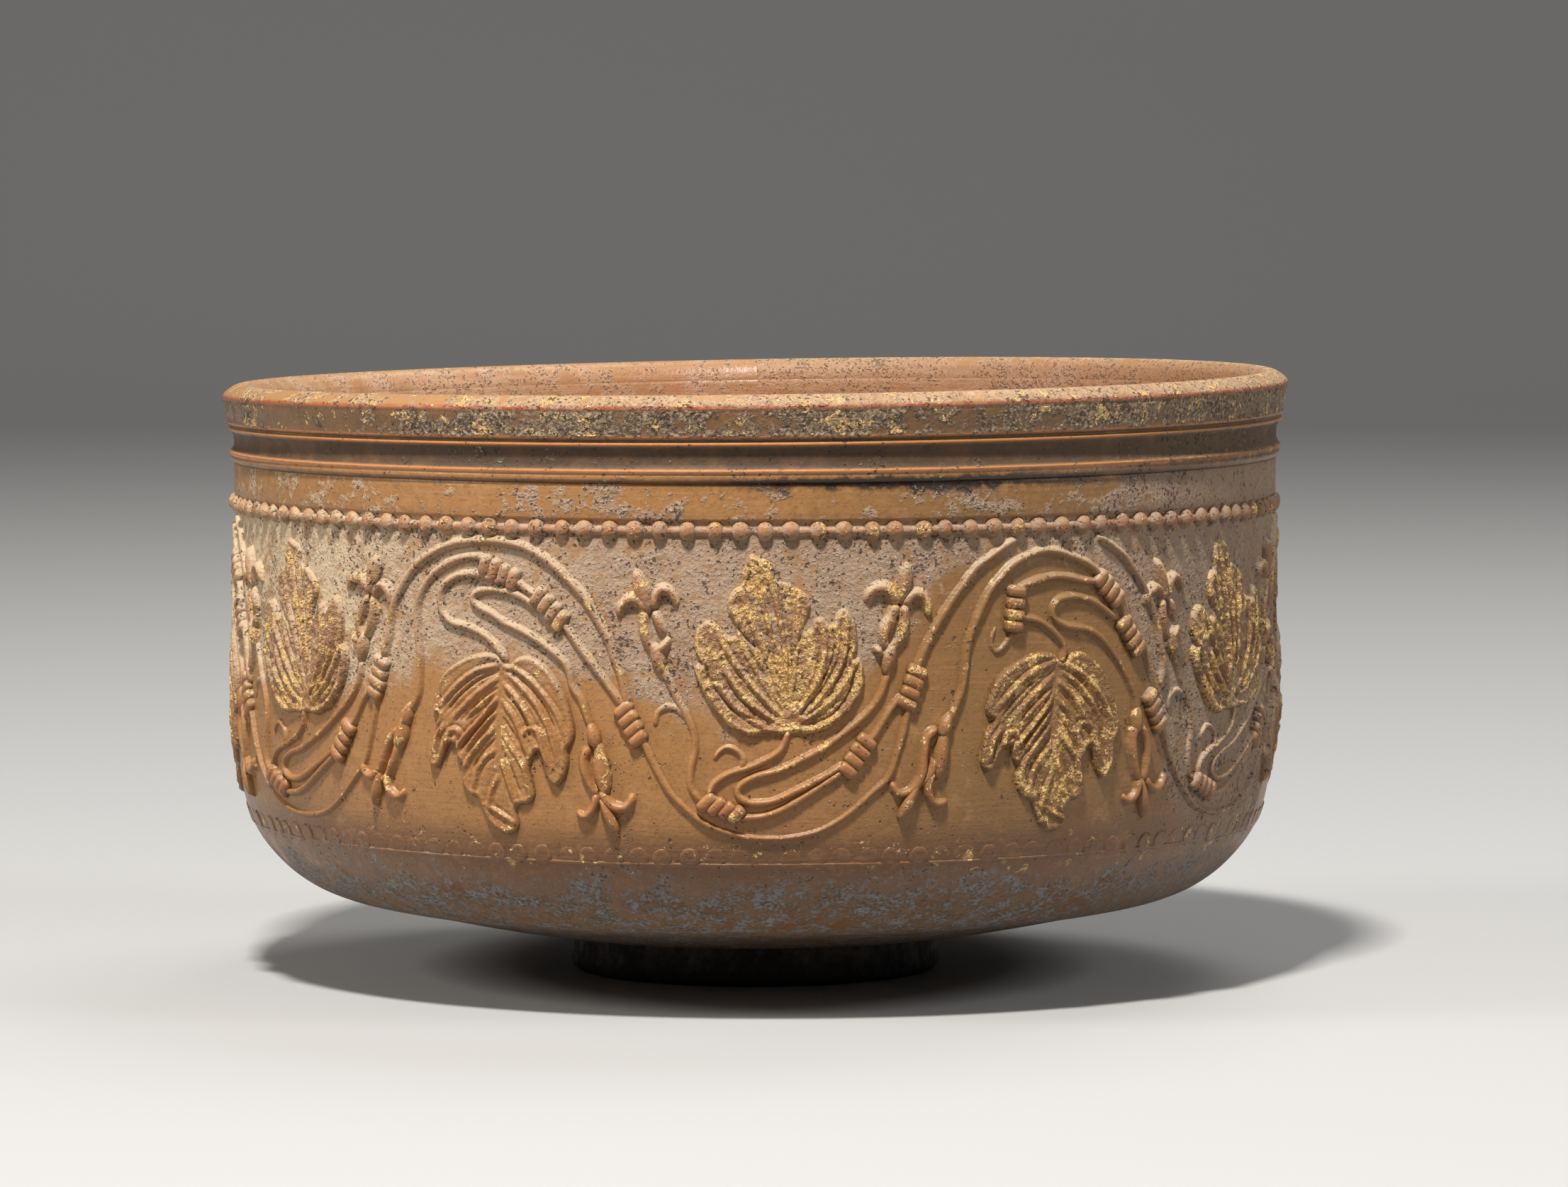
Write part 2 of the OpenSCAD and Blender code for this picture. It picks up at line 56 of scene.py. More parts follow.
# Lengths, heights and radii in mm
WALL_THICKNESS = 4.2
INNER_TOP, INNER_DEPTH, FLOOR_REACH = 66, 2, 55
RIM_INSIDE, RIM_OUTSIDE, CROWN_TOP = 72.4, 73.7, 83.7
EVEN_TO, UNEVEN_FROM = 30, 60
WARP_FROM, WARP_TO = 66, 82
BEAD_Z, CORD_Z, DISC_Z, LOWER_LINE_Z = 66.3, 66.2, 22.6, 21.75
BEAD_TALL, DISC_TALL = 1.22, 0.16
TIE_LUMPS, TIE_REACH, TIE_THICKNESS = 4, 3.2, 1.9
# A leaf: the step of its grid, the width of its rising border, and where its rolled rim lies
LEAF_STEP, BORDER, ROLLED_AT, ROLLED_HALF = 0.168, 0.75, 0.6, 0.3
# Its ridges and furrows, the grooves beside the ridges, and its crumbs of two sizes
RIDGE_TALL, RIDGE_HALF, FURROW_HALF = 0.4, 0.25, 0.19
BESIDE_AT, BESIDE_HALF, CRUMB, FINE_CRUMB = 0.55, 0.22, 1.3, 0.55
# How finely curves and turned pieces are divided
WALL_SIDES, FOOT_SIDES, BEAD_SIDES, DISC_SIDES = 400, 180, 12, 14
FINE_STEPS, DRAWN_STEPS = 12, 5
SHARP_ANGLE = math.radians(40)

# Outline of the clay, [radius, height] in mm, from the middle of the underside to the bead row
BELLY = [
    (2, 5.2), (15, 5.4), (30.2, 6), (38, 7.1), (43.8, 8.2), (48, 9.1), (52.2, 10), (56.4, 10.8), (60, 11.7),
    (63.3, 13.2), (66.4, 15.5), (69.2, 18.6), (70.8, 21.2), (71.7, 23.6), (72.4, 26.6), (72.9, 30.6),
    (73.15, 35.2), (73.2, 40.2), (73.15, 50.2), (73, 60.2), (72.9, 67),
]
PLAIN_BAND = [
    (72.95, 67.25), (73.1, 67.45), (73.32, 67.62), (73.4, 67.9), (73.4, 69), (73.4, 70.4), (73.4, 71.6),
    (73.38, 72.1), (73.3, 72.35),
]
TONGUE = [
    (71, 72.4), (71, 80.92), (70.3, 80.93), (69.78, 80.92), (69.7, 80.86), (69.55, 80.3), (69.35, 79.2),
    (69.15, 76), (69.03, 72), (68.98, 69),
]
RIM = [
    (73.35, 72.36), (73.66, 72.5), (73.8, 72.75), (73.88, 73.05), (73.84, 73.3), (73.8, 73.42),
    (73.93, 73.6), (74.02, 73.8), (74.02, 73.95), (73.86, 74.12), (73.6, 74.35), (73.45, 74.85),
    (73.4, 75.5), (73.48, 76.2), (73.72, 76.8), (74.04, 77.12), (74.25, 77.3), (74.27, 77.44),
    (74.1, 77.6), (73.92, 77.74), (73.92, 77.9), (74.12, 78.06), (74.36, 78.22), (74.42, 78.36),
    (74.38, 78.6), (74.5, 79.2), (74.68, 80.1), (74.84, 81), (74.93, 81.45), (74.9, 81.6), (75, 81.8),
    (75.04, 82), (75, 82.2), (74.82, 82.5), (74.5, 82.82), (74, 83.2), (73.4, 83.55), (72.7, 83.75),
    (71.9, 83.66), (71.1, 83.3), (70.5, 82.75), (70.1, 82.15), (69.88, 81.65), (69.74, 81.2),
    (69.68, 80.95), (69.66, 80.72), (69.85, 80.68), (71.1, 80.94), (71.1, 72.44),
]
CROWN = slice(31, 44)
# Ridges of the rim, rubbed and painted as highlights, as [height, reach up and down]
RUBBED_HIGHLIT_RIDGES = ((73.85, 0.25), (77.37, 0.15), (78.3, 0.12), (82, 0.25))
FOOT = [
    (21.6, 6), (21.7, 5), (21.9, 3), (22.3, 1.2), (22.7, 0.35), (23.2, 0.02), (24.6, 0), (25.2, 0.12),
    (25.7, 0.6), (25.95, 1.5), (26, 3), (25.95, 4.6), (25.9, 5.4), (25.8, 6.3), (24, 6.4), (22.4, 6.4),
]

# The drawn vine: points round the wall to the right of the front and above the table, in mm
TROUGH_WAVE = [
    (-15.9, 40), (-14.6, 38), (-13.1, 34.9), (-11.2, 31.7), (-8.8, 29.2), (-6.5, 27.4), (-3.8, 26.3),
    (-0.8, 25.6), (2.3, 25.4), (5.4, 25.6), (8.5, 26.3), (11.5, 27.8), (13.8, 29.5), (16, 31.5),
    (18.2, 33.6), (19.5, 37.2), (20.4, 40.6), (21, 44), (21.9, 47.4),
]
CREST_A = [
    (-55.1, 48), (-54.1, 51), (-53.7, 53.4), (-52.9, 55.7), (-51.4, 58), (-49.1, 60.7), (-46, 62.6),
    (-43, 63.8), (-40, 64.3), (-36.5, 64.5), (-32.6, 64), (-29.9, 63), (-27.2, 61.3), (-24.9, 59.3),
    (-23, 57.4), (-21.1, 54.5), (-19.5, 51.8), (-18.6, 49.2), (-17.6, 46.5), (-16.8, 42.8),
]
CREST_B = [
    (26.6, 40.6), (27.6, 43), (28.4, 44.9), (28.8, 47.2), (29, 49.5), (29.5, 51.8), (30.7, 54.5),
    (31.5, 56.1), (32.6, 58), (34.2, 59.7), (36.1, 61.3), (38.4, 62.4), (40.7, 63), (43.2, 62.8),
    (45.8, 62), (48.2, 61.1), (50.3, 59.6), (53.3, 56.5), (54.7, 54.7), (56, 51.6), (58.5, 49.5),
    (59.7, 47.2), (60.7, 44.9), (61.9, 42.2),
]
RISING_END = [
    (21.8, 47.2), (22.4, 49), (23.8, 51.8), (25.3, 54.3), (26.8, 56.5), (28.8, 59), (30.7, 61.1),
    (33, 62.6), (35.3, 64), (36.8, 64.6),
]
FALLING_START = [
    (50.2, 64.7), (52.8, 63.2), (55.1, 61.7), (57, 59.7), (58.9, 57.4), (60.5, 54.7), (61.6, 52.2),
    (62.2, 49.5), (62.8, 46.8), (62, 43.8),
]
TROUGH_BRANCHES = [
    [(18, 47.6), (17.8, 46.8), (17, 44.5), (15.3, 42.2), (12.6, 39.9), (10.3, 38.2), (8.2, 36.9),
     (5.4, 35.5), (3.1, 34.5), (0.4, 33.8), (-1.5, 32.8), (-2.1, 31.7), (-1.5, 30.7), (0, 30.2),
     (2.7, 30.5), (5.4, 31.7), (8.1, 33), (10.8, 34.5), (12.4, 35.5)],
    [(-2, 28.3), (-1.3, 28.2), (1.5, 28.5), (4.2, 29.5), (6.9, 31.1), (9.6, 32.8), (12, 34.4)],
    [(15, 38.2), (16.1, 39), (17.2, 40.7), (18.4, 42.6), (20.2, 44.6)],
    [(-12.4, 48.6), (-11.7, 47.2), (-9.8, 43.4), (-8.7, 41.5), (-7.9, 39.5), (-7.7, 37.2), (-8.3, 34.5),
     (-8.2, 32), (-6.8, 30.2)],
]
CREST_A_BRANCHES = [
    [(-50.2, 41), (-48.7, 43.4), (-48.4, 46.5), (-48.5, 49.5), (-48.9, 52.6), (-48.9, 54.9),
     (-48.3, 56.8), (-46.8, 59), (-44.5, 60.7), (-41.4, 62), (-38.4, 62.2), (-36.6, 61)],
    [(-34, 59.7), (-32.6, 59), (-30.7, 57.8), (-29, 57)],
    [(-26.5, 54.5), (-25.3, 53), (-23.4, 50.5), (-21.1, 47.6), (-18.8, 44.7), (-17.4, 42.8)],
    [(-29.2, 55.4), (-29.9, 55.7), (-31.8, 57), (-34.5, 57.8), (-37.2, 57.9), (-39, 57.4), (-39.5, 56.5),
     (-38.4, 55.5), (-36.5, 54.7), (-34.5, 53.6), (-31.5, 52.4), (-28.8, 50.9), (-26.8, 49.5),
     (-25.3, 48), (-24.5, 45.3), (-23.4, 43.8), (-22.6, 41.8), (-21.9, 39.9)],
]
CREST_B_BRANCHES = [
    [(50.8, 58.5), (49.7, 58.6), (47.4, 58.8), (45.1, 59.3), (42.8, 59.5), (40.5, 59.2), (38.2, 58.6),
     (36.4, 57.6)],
    [(53.6, 53.2), (52, 54.3), (49.7, 55.7), (47.4, 56.5), (45.1, 56.7), (43.2, 56.3), (42.3, 55.1),
     (42.8, 53.8), (44.7, 52.8), (47.4, 52.4), (49.3, 51.8), (51.2, 50.5), (53.2, 48.4), (54.7, 46.5),
     (56, 44.5), (57, 42.6), (57.4, 40.4)],
]
TROUGH_STALK = [
    (-5.9, 31), (-5.8, 31.7), (-5, 33), (-3.1, 34.2), (-0.8, 34.9), (1.5, 35.9), (3.3, 37), (4.2, 38.4),
    (4.7, 40.4),
]
CREST_A_STALK = [
    (-34.4, 48.2), (-34.5, 48.8), (-36.1, 50.7), (-38, 52), (-40.3, 52.8), (-43, 53.4), (-44.5, 54.7),
    (-44.9, 56.5), (-44.2, 58.2), (-42.2, 59.5), (-39.5, 59.9), (-36.8, 59.5), (-34.9, 58.8),
]
CREST_B_STALK = [(36.8, 54.3), (39.7, 53.8), (41.6, 52.8), (43.2, 51.5), (44.3, 49.9), (43.6, 47.8)]
TROUGH_TENDRILS = [
    [(-1.6, 34.6), (-1.3, 36.1), (-2.1, 37.2), (-3.5, 37.7), (-4.6, 37), (-5.2, 35.9)],
    [(-8.7, 41.4), (-10, 42.6), (-11.3, 43), (-12.7, 42.2), (-13.1, 40.3)],
]
CREST_B_TENDRIL = [(35.9, 52.6), (35.5, 51.5), (34.3, 50.1), (33.2, 49.9), (32.8, 51.5), (33.5, 53)]
# Ties as [first lump, last lump, slant of the lumps in degrees]
TROUGH_TIES = [
    [(20.6, 43.3), (22, 47.5), -8], [(-17.4, 42.5), (-15.4, 38.7), 14], [(-6.2, 30.3), (-2.3, 28.7), -24],
    [(12.6, 34.5), (15.1, 38.3), -6],
]
CREST_A_TIES = [[(-37.5, 61.2), (-33.2, 59.4), 6], [(-29.4, 57.3), (-26.2, 54.1), 10]]
CREST_B_TIES = [
    [(50.5, 59), (53.5, 56.1), 0], [(54.8, 52.7), (57.4, 49.2), 0], [(36.6, 57.7), (36.1, 53.1), 0]]

UPRIGHT_LEAF = {
    "rolled": 0.26,
    "outline": [
        (4.2, 39.3), (1.5, 39.4), (-0.8, 39.2), (-3.1, 40.3), (-5, 42.2), (-6.5, 44.5), (-7.5, 46.5),
        (-7.9, 48), (-7.3, 48.9), (-6.8, 48.6), (-7.6, 49.9), (-8, 51.8), (-7.3, 53.6), (-5.9, 54.5),
        (-4.6, 53.8), (-3.4, 52.6), (-2.4, 52.5), (-2.6, 54.2), (-3.4, 55.6), (-3.4, 57), (-2.6, 58.6),
        (-1.6, 59.2), (-1.5, 60.8), (-0.9, 62.4), (-0.2, 63.3), (0.9, 62.7), (1.9, 62.5), (2.9, 61.5),
        (3, 59.9), (4.4, 59.5), (6, 58.7), (7.3, 57.6), (7.7, 56.2), (7, 54.6), (6.7, 53.1), (7.5, 53.4),
        (8.1, 54.6), (9.2, 54.9), (10.1, 53.9), (10.6, 54.2), (11.2, 55.5), (12.2, 56.1), (13.1, 55.1),
        (13.8, 53.4), (13.9, 51.1), (13.4, 49.4), (14.2, 49.5), (14.8, 48), (14.7, 45.7), (13.6, 43.4),
        (11.9, 41.5), (10, 40.2), (7.7, 39.4), (5.6, 39.5),
    ],
    "ridges": [
        [(-4.4, 45.8), (-2.7, 43.4), (-0.4, 41.5), (2, 40)],
        [(-3.6, 48), (-1.5, 44.8), (1, 42.4), (3.2, 41)],
        [(-4.4, 52.2), (-2.2, 48.6), (0.4, 45.2), (3.4, 42)],
        [(-1.4, 51), (0.6, 47.6), (3.6, 43)],
        [(-1.6, 58.2), (-0.6, 55), (1.6, 50.2), (3.9, 44)],
        [(-0.1, 61.8), (1, 57.6), (2.6, 52), (4.2, 45)],
        [(1.8, 61), (2.9, 57.4), (4, 52), (4.6, 45.4)],
        [(6, 57.2), (5.9, 53), (5.4, 48), (4.9, 44)],
        [(8.9, 54.4), (9.5, 51), (8.5, 46.4), (5.8, 42)],
        [(12.4, 55), (11.9, 49.4), (9.6, 44.9), (6.2, 41.4)],
        [(13.7, 49.2), (12.2, 46.2), (9.7, 43.4), (6.2, 40.9)],
    ],
    "furrows": [
        [(-6.2, 48.4), (-5.6, 46.2), (-3.9, 43.9), (-1.9, 42.2), (1.4, 40.9)],
        [(-4, 47.2), (-2, 44.2), (0.4, 42.3), (2.6, 41)],
        [(-2.8, 54.6), (-1.2, 52.4), (0.6, 50.6)],
        [(6.3, 52.6), (5.7, 51), (5.1, 49.6)],
        [(11, 48.8), (9.2, 45.6), (6.3, 42.2)],
        [(10.4, 54), (10.8, 50.8), (9.4, 46.8), (6.4, 43)],
        [(13.3, 48.4), (13.1, 46), (12, 43.7), (9.8, 41.6), (6.5, 40.5)],
        [(12.9, 51.4), (11.4, 47.2), (8.6, 43.4)],
        [(3.8, 42.4), (1.4, 46.6), (-0.4, 50.4)],
        [(4.4, 43.6), (3.4, 49), (2.2, 54)],
        [(5, 44), (4.8, 49), (4.2, 55)],
    ],
    "midrib": [(4.7, 40.2), (4.2, 46), (3.2, 53), (1.4, 60)],
}
HANGING_LEAF = {
    "rolled": 0.16,
    "outline": [
        (-34.3, 48.3), (-35.4, 49.3), (-37.2, 49.6), (-39.5, 49.2), (-42.2, 48), (-44.2, 46.5),
        (-45.3, 44.5), (-46, 42.6), (-45.8, 41.2), (-45, 40.8), (-45.5, 39.8), (-46.2, 38.4),
        (-46.7, 36.1), (-46.5, 34.4), (-45.6, 33.7), (-44.7, 34.2), (-44, 35.6), (-43.2, 37),
        (-42.2, 36.9), (-42, 35.4), (-41.2, 34.3), (-41.4, 32.8), (-40.9, 31.1), (-39.9, 30.2),
        (-38.9, 30), (-38.4, 28.6), (-37.4, 26.7), (-36, 25.6), (-34.6, 25.2), (-33.2, 25.7),
        (-32.7, 26.9), (-33, 28.6), (-32.3, 29.3), (-31, 29.5), (-30.1, 30.6), (-30.2, 32.2),
        (-30.7, 34.2), (-30.3, 35.4), (-29.5, 36.6), (-28.9, 35.4), (-28.5, 33.8), (-27.7, 32.4),
        (-26.7, 32), (-25.6, 33.2), (-25, 35.2), (-25.1, 37), (-24.4, 38), (-24.1, 39.4), (-24.5, 41.6),
        (-25.6, 44.4), (-27.1, 46.9), (-28.8, 48.5), (-30.7, 49.3), (-32.6, 49.1), (-33.6, 48.2),
    ],
    "ridges": [
        [(-35.5, 47.9), (-38.8, 47), (-41.8, 44.9), (-44.4, 42.2)],
        [(-35.5, 46.2), (-38.4, 44.2), (-41.1, 41.8), (-42.6, 40.3)],
        [(-36.1, 44.2), (-38.4, 42.4), (-40.2, 40.9)],
        [(-35.7, 43.4), (-38, 40.7), (-40.7, 38), (-42, 36.2)],
        [(-36.1, 41.4), (-38.4, 38.9), (-40.2, 36.6)],
        [(-36.1, 39.5), (-38.4, 37.2), (-39.9, 35.3), (-40.9, 33.4)],
        [(-36.1, 36.5), (-37.6, 35.3), (-38.8, 33.4), (-39.4, 31)],
        [(-35.6, 33), (-36.8, 30.6), (-37.2, 28)],
        [(-33, 47.6), (-30.7, 46.3), (-28.4, 44.1), (-26.5, 41.5), (-25.4, 38.6)],
        [(-33.7, 46.6), (-31.6, 45), (-29.4, 42.6), (-27.6, 39.4), (-26.4, 35)],
        [(-34.5, 45.4), (-32.6, 43.6), (-30.7, 41), (-29.6, 38.8)],
        [(-34.7, 43), (-33, 41.1), (-31.5, 37.9), (-30.6, 35.9)],
        [(-34.7, 38.8), (-33.2, 36.8), (-31.6, 34.5), (-31, 31.2)],
        [(-34.9, 34.9), (-33.8, 31.8), (-32.9, 29.4)],
        [(-43.6, 36.6), (-43.1, 38.6), (-41.8, 39.1), (-41.1, 38.2)],
        [(-31.6, 38.4), (-31.1, 39.5), (-29.6, 39.5), (-28.7, 37.2), (-27.6, 34.2)],
        [(-45.6, 35.4), (-45, 38), (-43.8, 39.6)],
        [(-37.6, 29.2), (-35.4, 28), (-33.2, 26.8)],
    ],
    "furrows": [
        [(-35.4, 47.1), (-38.6, 45.7), (-41.6, 43.4), (-43.6, 41.2)],
        [(-35.6, 44.9), (-38.4, 42.9), (-41, 40.4)],
        [(-35.8, 42.2), (-38.2, 39.6), (-40.9, 36.9)],
        [(-36, 38), (-38.1, 36), (-39.6, 33.8)],
        [(-33.9, 47.2), (-31.2, 45.7), (-28.6, 42.9), (-26.7, 39.4)],
        [(-34.3, 44.2), (-32, 41.8), (-30.6, 38.6)],
        [(-34.6, 40.8), (-32.9, 38.6), (-31.3, 35.6)],
        [(-34.8, 36.8), (-33.3, 33.6), (-32.2, 30.8)],
    ],
    "midrib": [(-34.9, 46.8), (-35.1, 41), (-35.3, 35), (-35.2, 28.6)],
}
# Buds as petals [from, to, width] and curls [points, width]
BUD_UP_LEFT = {
    "petals": [[(-13.8, 55.2), (-15.8, 61.3), 2.4], [(-12, 47.2), (-13.3, 51.6), 2.1]],
    "curls": [
        [[(-14.2, 55.4), (-14.9, 56.6), (-15.9, 57.2), (-17, 56.9), (-17.8, 56), (-18, 54.8)], 1.45],
        [[(-13.4, 55.8), (-13, 57.5), (-12.2, 58.5), (-11.2, 58.3), (-10.5, 57.5), (-10.2, 56.3)], 1.35],
        [[(-14.6, 55.8), (-14.6, 53.6), (-14.1, 51.6), (-13.1, 49.8)], 1.35],
        [[(-13.2, 55.8), (-12.5, 54), (-11.8, 52.5)], 1.2],
        [[(-13, 49.9), (-12, 50.8), (-11.1, 52.2)], 1.2],
    ],
}
BUD_UP_RIGHT = {
    "petals": [[(19.6, 56.4), (20.8, 62.1), 2.5], [(17.5, 47), (18.7, 51.4), 2.1]],
    "curls": [
        [[(19.3, 56.4), (18.6, 57.9), (17.6, 58.6), (16.3, 58.5), (15.5, 57.8), (15.2, 56.7)], 1.6],
        [[(20.2, 56), (21.1, 57.4), (22.2, 57.8), (23.2, 57), (23.6, 55.8), (23.5, 54.8)], 1.35],
        [[(19.3, 56.6), (18.3, 54.4), (17.3, 52.4), (17.9, 50.4)], 1.35],
        [[(20.3, 56.6), (20.3, 54.1), (19.7, 52.1), (18.4, 50.4)], 1.3],
        [[(17.3, 49.6), (16.6, 50.4), (16.3, 51.2)], 1.1],
    ],
}
BUDS_DOWN_A = [
    {
        "petals": [
            [(-22.1, 40.8), (-21, 37.2), 2.1], [(-20.9, 38.4), (-19.9, 30.8), 2.6],
            [(-20.8, 30.8), (-18.3, 25.8), 1.7],
        ],
        "curls": [
            [[(-22.2, 37.6), (-22.9, 35.6), (-22.4, 33.2), (-21, 30.8)], 1.3],
            [[(-20.6, 31.8), (-19.9, 30.5), (-18.8, 29.5), (-17.4, 29.4), (-16.5, 30.2), (-16.2, 31.4)], 1.4],
            [[(-21.2, 31.4), (-21.5, 29.6), (-22.3, 28.4), (-23.3, 28.1), (-24.1, 28.9)], 1.2],
        ],
    },
    {
        "petals": [
            [(-49.9, 42.4), (-51.2, 38.8), 2.1], [(-50.6, 40.8), (-52.4, 35.6), 2.6],
            [(-55.6, 33), (-57.4, 27.8), 1.8],
        ],
        "curls": [
            [[(-51.6, 39), (-53.5, 37.4), (-54.8, 35), (-56, 32.8), (-57.5, 31.9), (-58.9, 32.4),
              (-59.3, 33.9)], 1.35],
            [[(-52, 37), (-53, 34.4), (-54.6, 32), (-56, 31.4)], 1.3],
            [[(-54.2, 32.8), (-54.4, 30.8), (-53.3, 29.6), (-52.2, 29.5), (-51.4, 30.5)], 1.3],
        ],
    },
]
BUDS_DOWN_B = [
    {
        "petals": [
            [(26.7, 42), (25.4, 38.6), 2.1], [(26.1, 40.2), (24.8, 32.8), 2.3],
            [(22.6, 33.2), (19.6, 27.6), 1.7],
        ],
        "curls": [
            [[(24.9, 40), (23.4, 38.6), (23, 36.2), (22.8, 34), (22, 32.3), (20.8, 31.4), (19.4, 31.4),
              (18.5, 32.9)], 1.35],
            [[(24.8, 36), (24, 34), (22.7, 32.2)], 1.2],
            [[(24.6, 34.4), (23.6, 32.4), (24, 30.6), (25.1, 29.7), (26.5, 30.2)], 1.3],
        ],
    },
    {
        "petals": [[(57.4, 41.6), (57, 37.6), 2.1], [(58.3, 31.8), (59.7, 26), 1.6]],
        "curls": [
            [[(57, 39), (56.3, 36.6), (56.9, 33.6), (58, 31)], 1.5],
            [[(57.6, 39), (59.1, 36.8), (59.3, 34), (58.7, 31)], 1.4],
            [[(57.9, 31.8), (57.7, 30.2), (57, 29.1), (55.9, 28.7), (55.1, 29.5)], 1.25],
            [[(59, 31.8), (60, 30.5), (61.3, 29.9), (62.7, 30.5), (63.4, 32)], 1.3],
        ],
    },
]


def tone(red, green, blue):
    """A display colour from 0 to 255 as Blender's linear colour."""
    def linear(value):
        value /= 255
        return value / 12.92 if value < 0.04045 else ((value + 0.055) / 1.055) ** 2.4

    return (linear(red), linear(green), linear(blue))


def length_setting(name, description, default):
    """A length that a user may change, with its default in mm."""
    return bpy.props.FloatProperty(name=name, description=description, default=default * MM, unit="LENGTH")


def colour_setting(name, description, red, green, blue):
    """A colour that a user may change, with its default from 0 to 255."""
    return bpy.props.FloatVectorProperty(
        name=name, description=description, default=tone(red, green, blue), subtype="COLOR")


class BowlSizes(bpy.types.PropertyGroup):
    """Sizes of the bowl's relief and rim."""

    stem_width: length_setting("Stem width", "Width of the vine's main stem", 1.18)
    stem_height: length_setting("Stem height", "Height of the vine's main stem above the wall", 0.75)
    branch_width: length_setting("Branch width", "Width of a side stem", 0.98)
    branch_height: length_setting("Branch height", "Height of a side stem above the wall", 0.65)
    leaf_height: length_setting("Leaf height", "Height of a leaf's body above the wall", 0.85)
    petal_height: length_setting("Petal height", "Height of a bud's petals above the wall", 1.15)
    tie_height: length_setting("Tie height", "Height of a tie's lumps above the wall", 1.15)
    bead_size: length_setting("Bead size", "Diameter of an upper bead", 2.6)
    bead_count: bpy.props.IntProperty(
        name="Beads", description="Beads in a whole turn", default=132, min=12)
    rim_warp: length_setting("Rim warp", "How far the warped rim rises and falls", 1.05)


class BowlColours(bpy.types.PropertyGroup):
    """Colours of the slip, the crusts and the gold leaf."""

    slip: colour_setting("Slip", "Orange-brown gloss slip", 180, 128, 76)
    # The olive slip is the slip's browner colour on the right, darkened there with painted shade
    olive_and_shaded: colour_setting("Olive slip", "Slip where it fired browner", 146, 108, 64)
    # The deep slip is darker slip low on the wall, with painted shade where the wall turns under
    deep_and_shaded: colour_setting("Deep slip", "Darker slip low on the wall", 126, 86, 56)
    worn: colour_setting("Worn clay", "Reddish clay on rubbed high points", 180, 110, 68)
    crust: colour_setting("Grey crust", "Burial crust on the upper wall", 184, 156, 132)
    cream: colour_setting("Cream crust", "Thick pale crust", 222, 196, 160)
    # The soot colour is also painted shade, under the rim's step and in the rim's grooves
    ash: colour_setting("Ash crust", "Grey crust under the belly", 136, 120, 100)
    soot_and_shade: colour_setting("Soot", "Dark stain in the grooves", 60, 42, 32)
    gold: colour_setting("Gold", "Remains of gold leaf", 255, 216, 142)
    inner: colour_setting("Inside", "Orange-pink inside of the bowl", 172, 129, 87)


def sizes():
    """The sizes that are set in the scene."""
    return bpy.context.scene.bowl_sizes


def colours():
    """The colours that are set in the scene."""
    return bpy.context.scene.bowl_colours


# Geometry helpers

def curve_between(a, b, c, d, t):
    """The Catmull-Rom curve from b to c, between its neighbours a and d."""
    return b + 0.5 * t * (c - a + t * (2 * a - 5 * b + 4 * c - d + t * (3 * (b - c) + d - a)))


def smooth_line(points, steps):
    """A Catmull-Rom curve through the points, with so many steps between each two."""
    p = np.asarray(points, float)
    ends = np.vstack([2 * p[0] - p[1], p, 2 * p[-1] - p[-2]])
    t = (np.arange(steps) / steps)[:, None]
    rows = [curve_between(*four, t) for four in zip(ends[:-3], ends[1:-2], ends[2:-1], ends[3:])]
    return np.vstack(rows + [p[-1:]])


def smooth_loop(points, steps):
    """A closed Catmull-Rom curve through the points."""
    p = np.asarray(points, float)
    t = (np.arange(steps) / steps)[:, None]
    around = zip(*(np.roll(p, -shift, axis=0) for shift in (-1, 0, 1, 2)))
    return np.vstack([curve_between(*four, t) for four in around])


def across_of(run):
    """Unit directions at right angles to a line's steps, to their left."""
    return np.stack([-run[:, 1], run[:, 0]], axis=1) / np.hypot(*run.T)[:, None]


def even_line(points, spacing):
    """The smooth curve through the points, cut into even steps."""
    fine = smooth_line(points, FINE_STEPS)
    run = np.concatenate([[0], np.cumsum(np.hypot(*np.diff(fine, axis=0).T))])
    count = max(3, int(round(run[-1] / spacing)) + 1)
    at = np.linspace(0, run[-1], count)
    return np.stack([np.interp(at, run, fine[:, 0]), np.interp(at, run, fine[:, 1])], axis=1), at


# The outside as a line, and its part above the floor's turn, where each height has one radius
OUTER = smooth_line(BELLY, 4)
WALL_FROM = 11
OUTER_UP = OUTER[OUTER[:, 1] > WALL_FROM]


def unevenness(turn, z):
    """How far the hand-made wall strays from true, in mm."""
    return (0.07 * np.sin(2 * turn + 0.7) + 0.05 * np.sin(3 * turn - 1.1 + z / 30)
            + 0.025 * np.sin(7 * turn + z / 9) + 0.02 * np.sin(11 * turn - z / 5 + 2))


def wall_radius(z):
    """Radius of the true wall at a height, in mm."""
    return np.interp(z, OUTER_UP[:, 1], OUTER_UP[:, 0])


def rim_lift(turn, z):
    """How far the warped rim stands above true, in mm, with the turn counted from the front."""
    share = np.clip((z - WARP_FROM) / (WARP_TO - WARP_FROM), 0, 1)
    warp = sizes().rim_warp / MM
    return share * warp * (np.sin(turn) - 0.12 * np.sin(2 * turn) + 0.48 * np.cos(turn))


def on_wall(s, z, h):
    """Points of the drawn strip laid on the wall, in metres."""
    turn = s / DRAWN_R
    r = wall_radius(z) + unevenness(turn, z) + h
    return np.stack([r * np.sin(turn), -r * np.cos(turn), z], axis=1) * MM


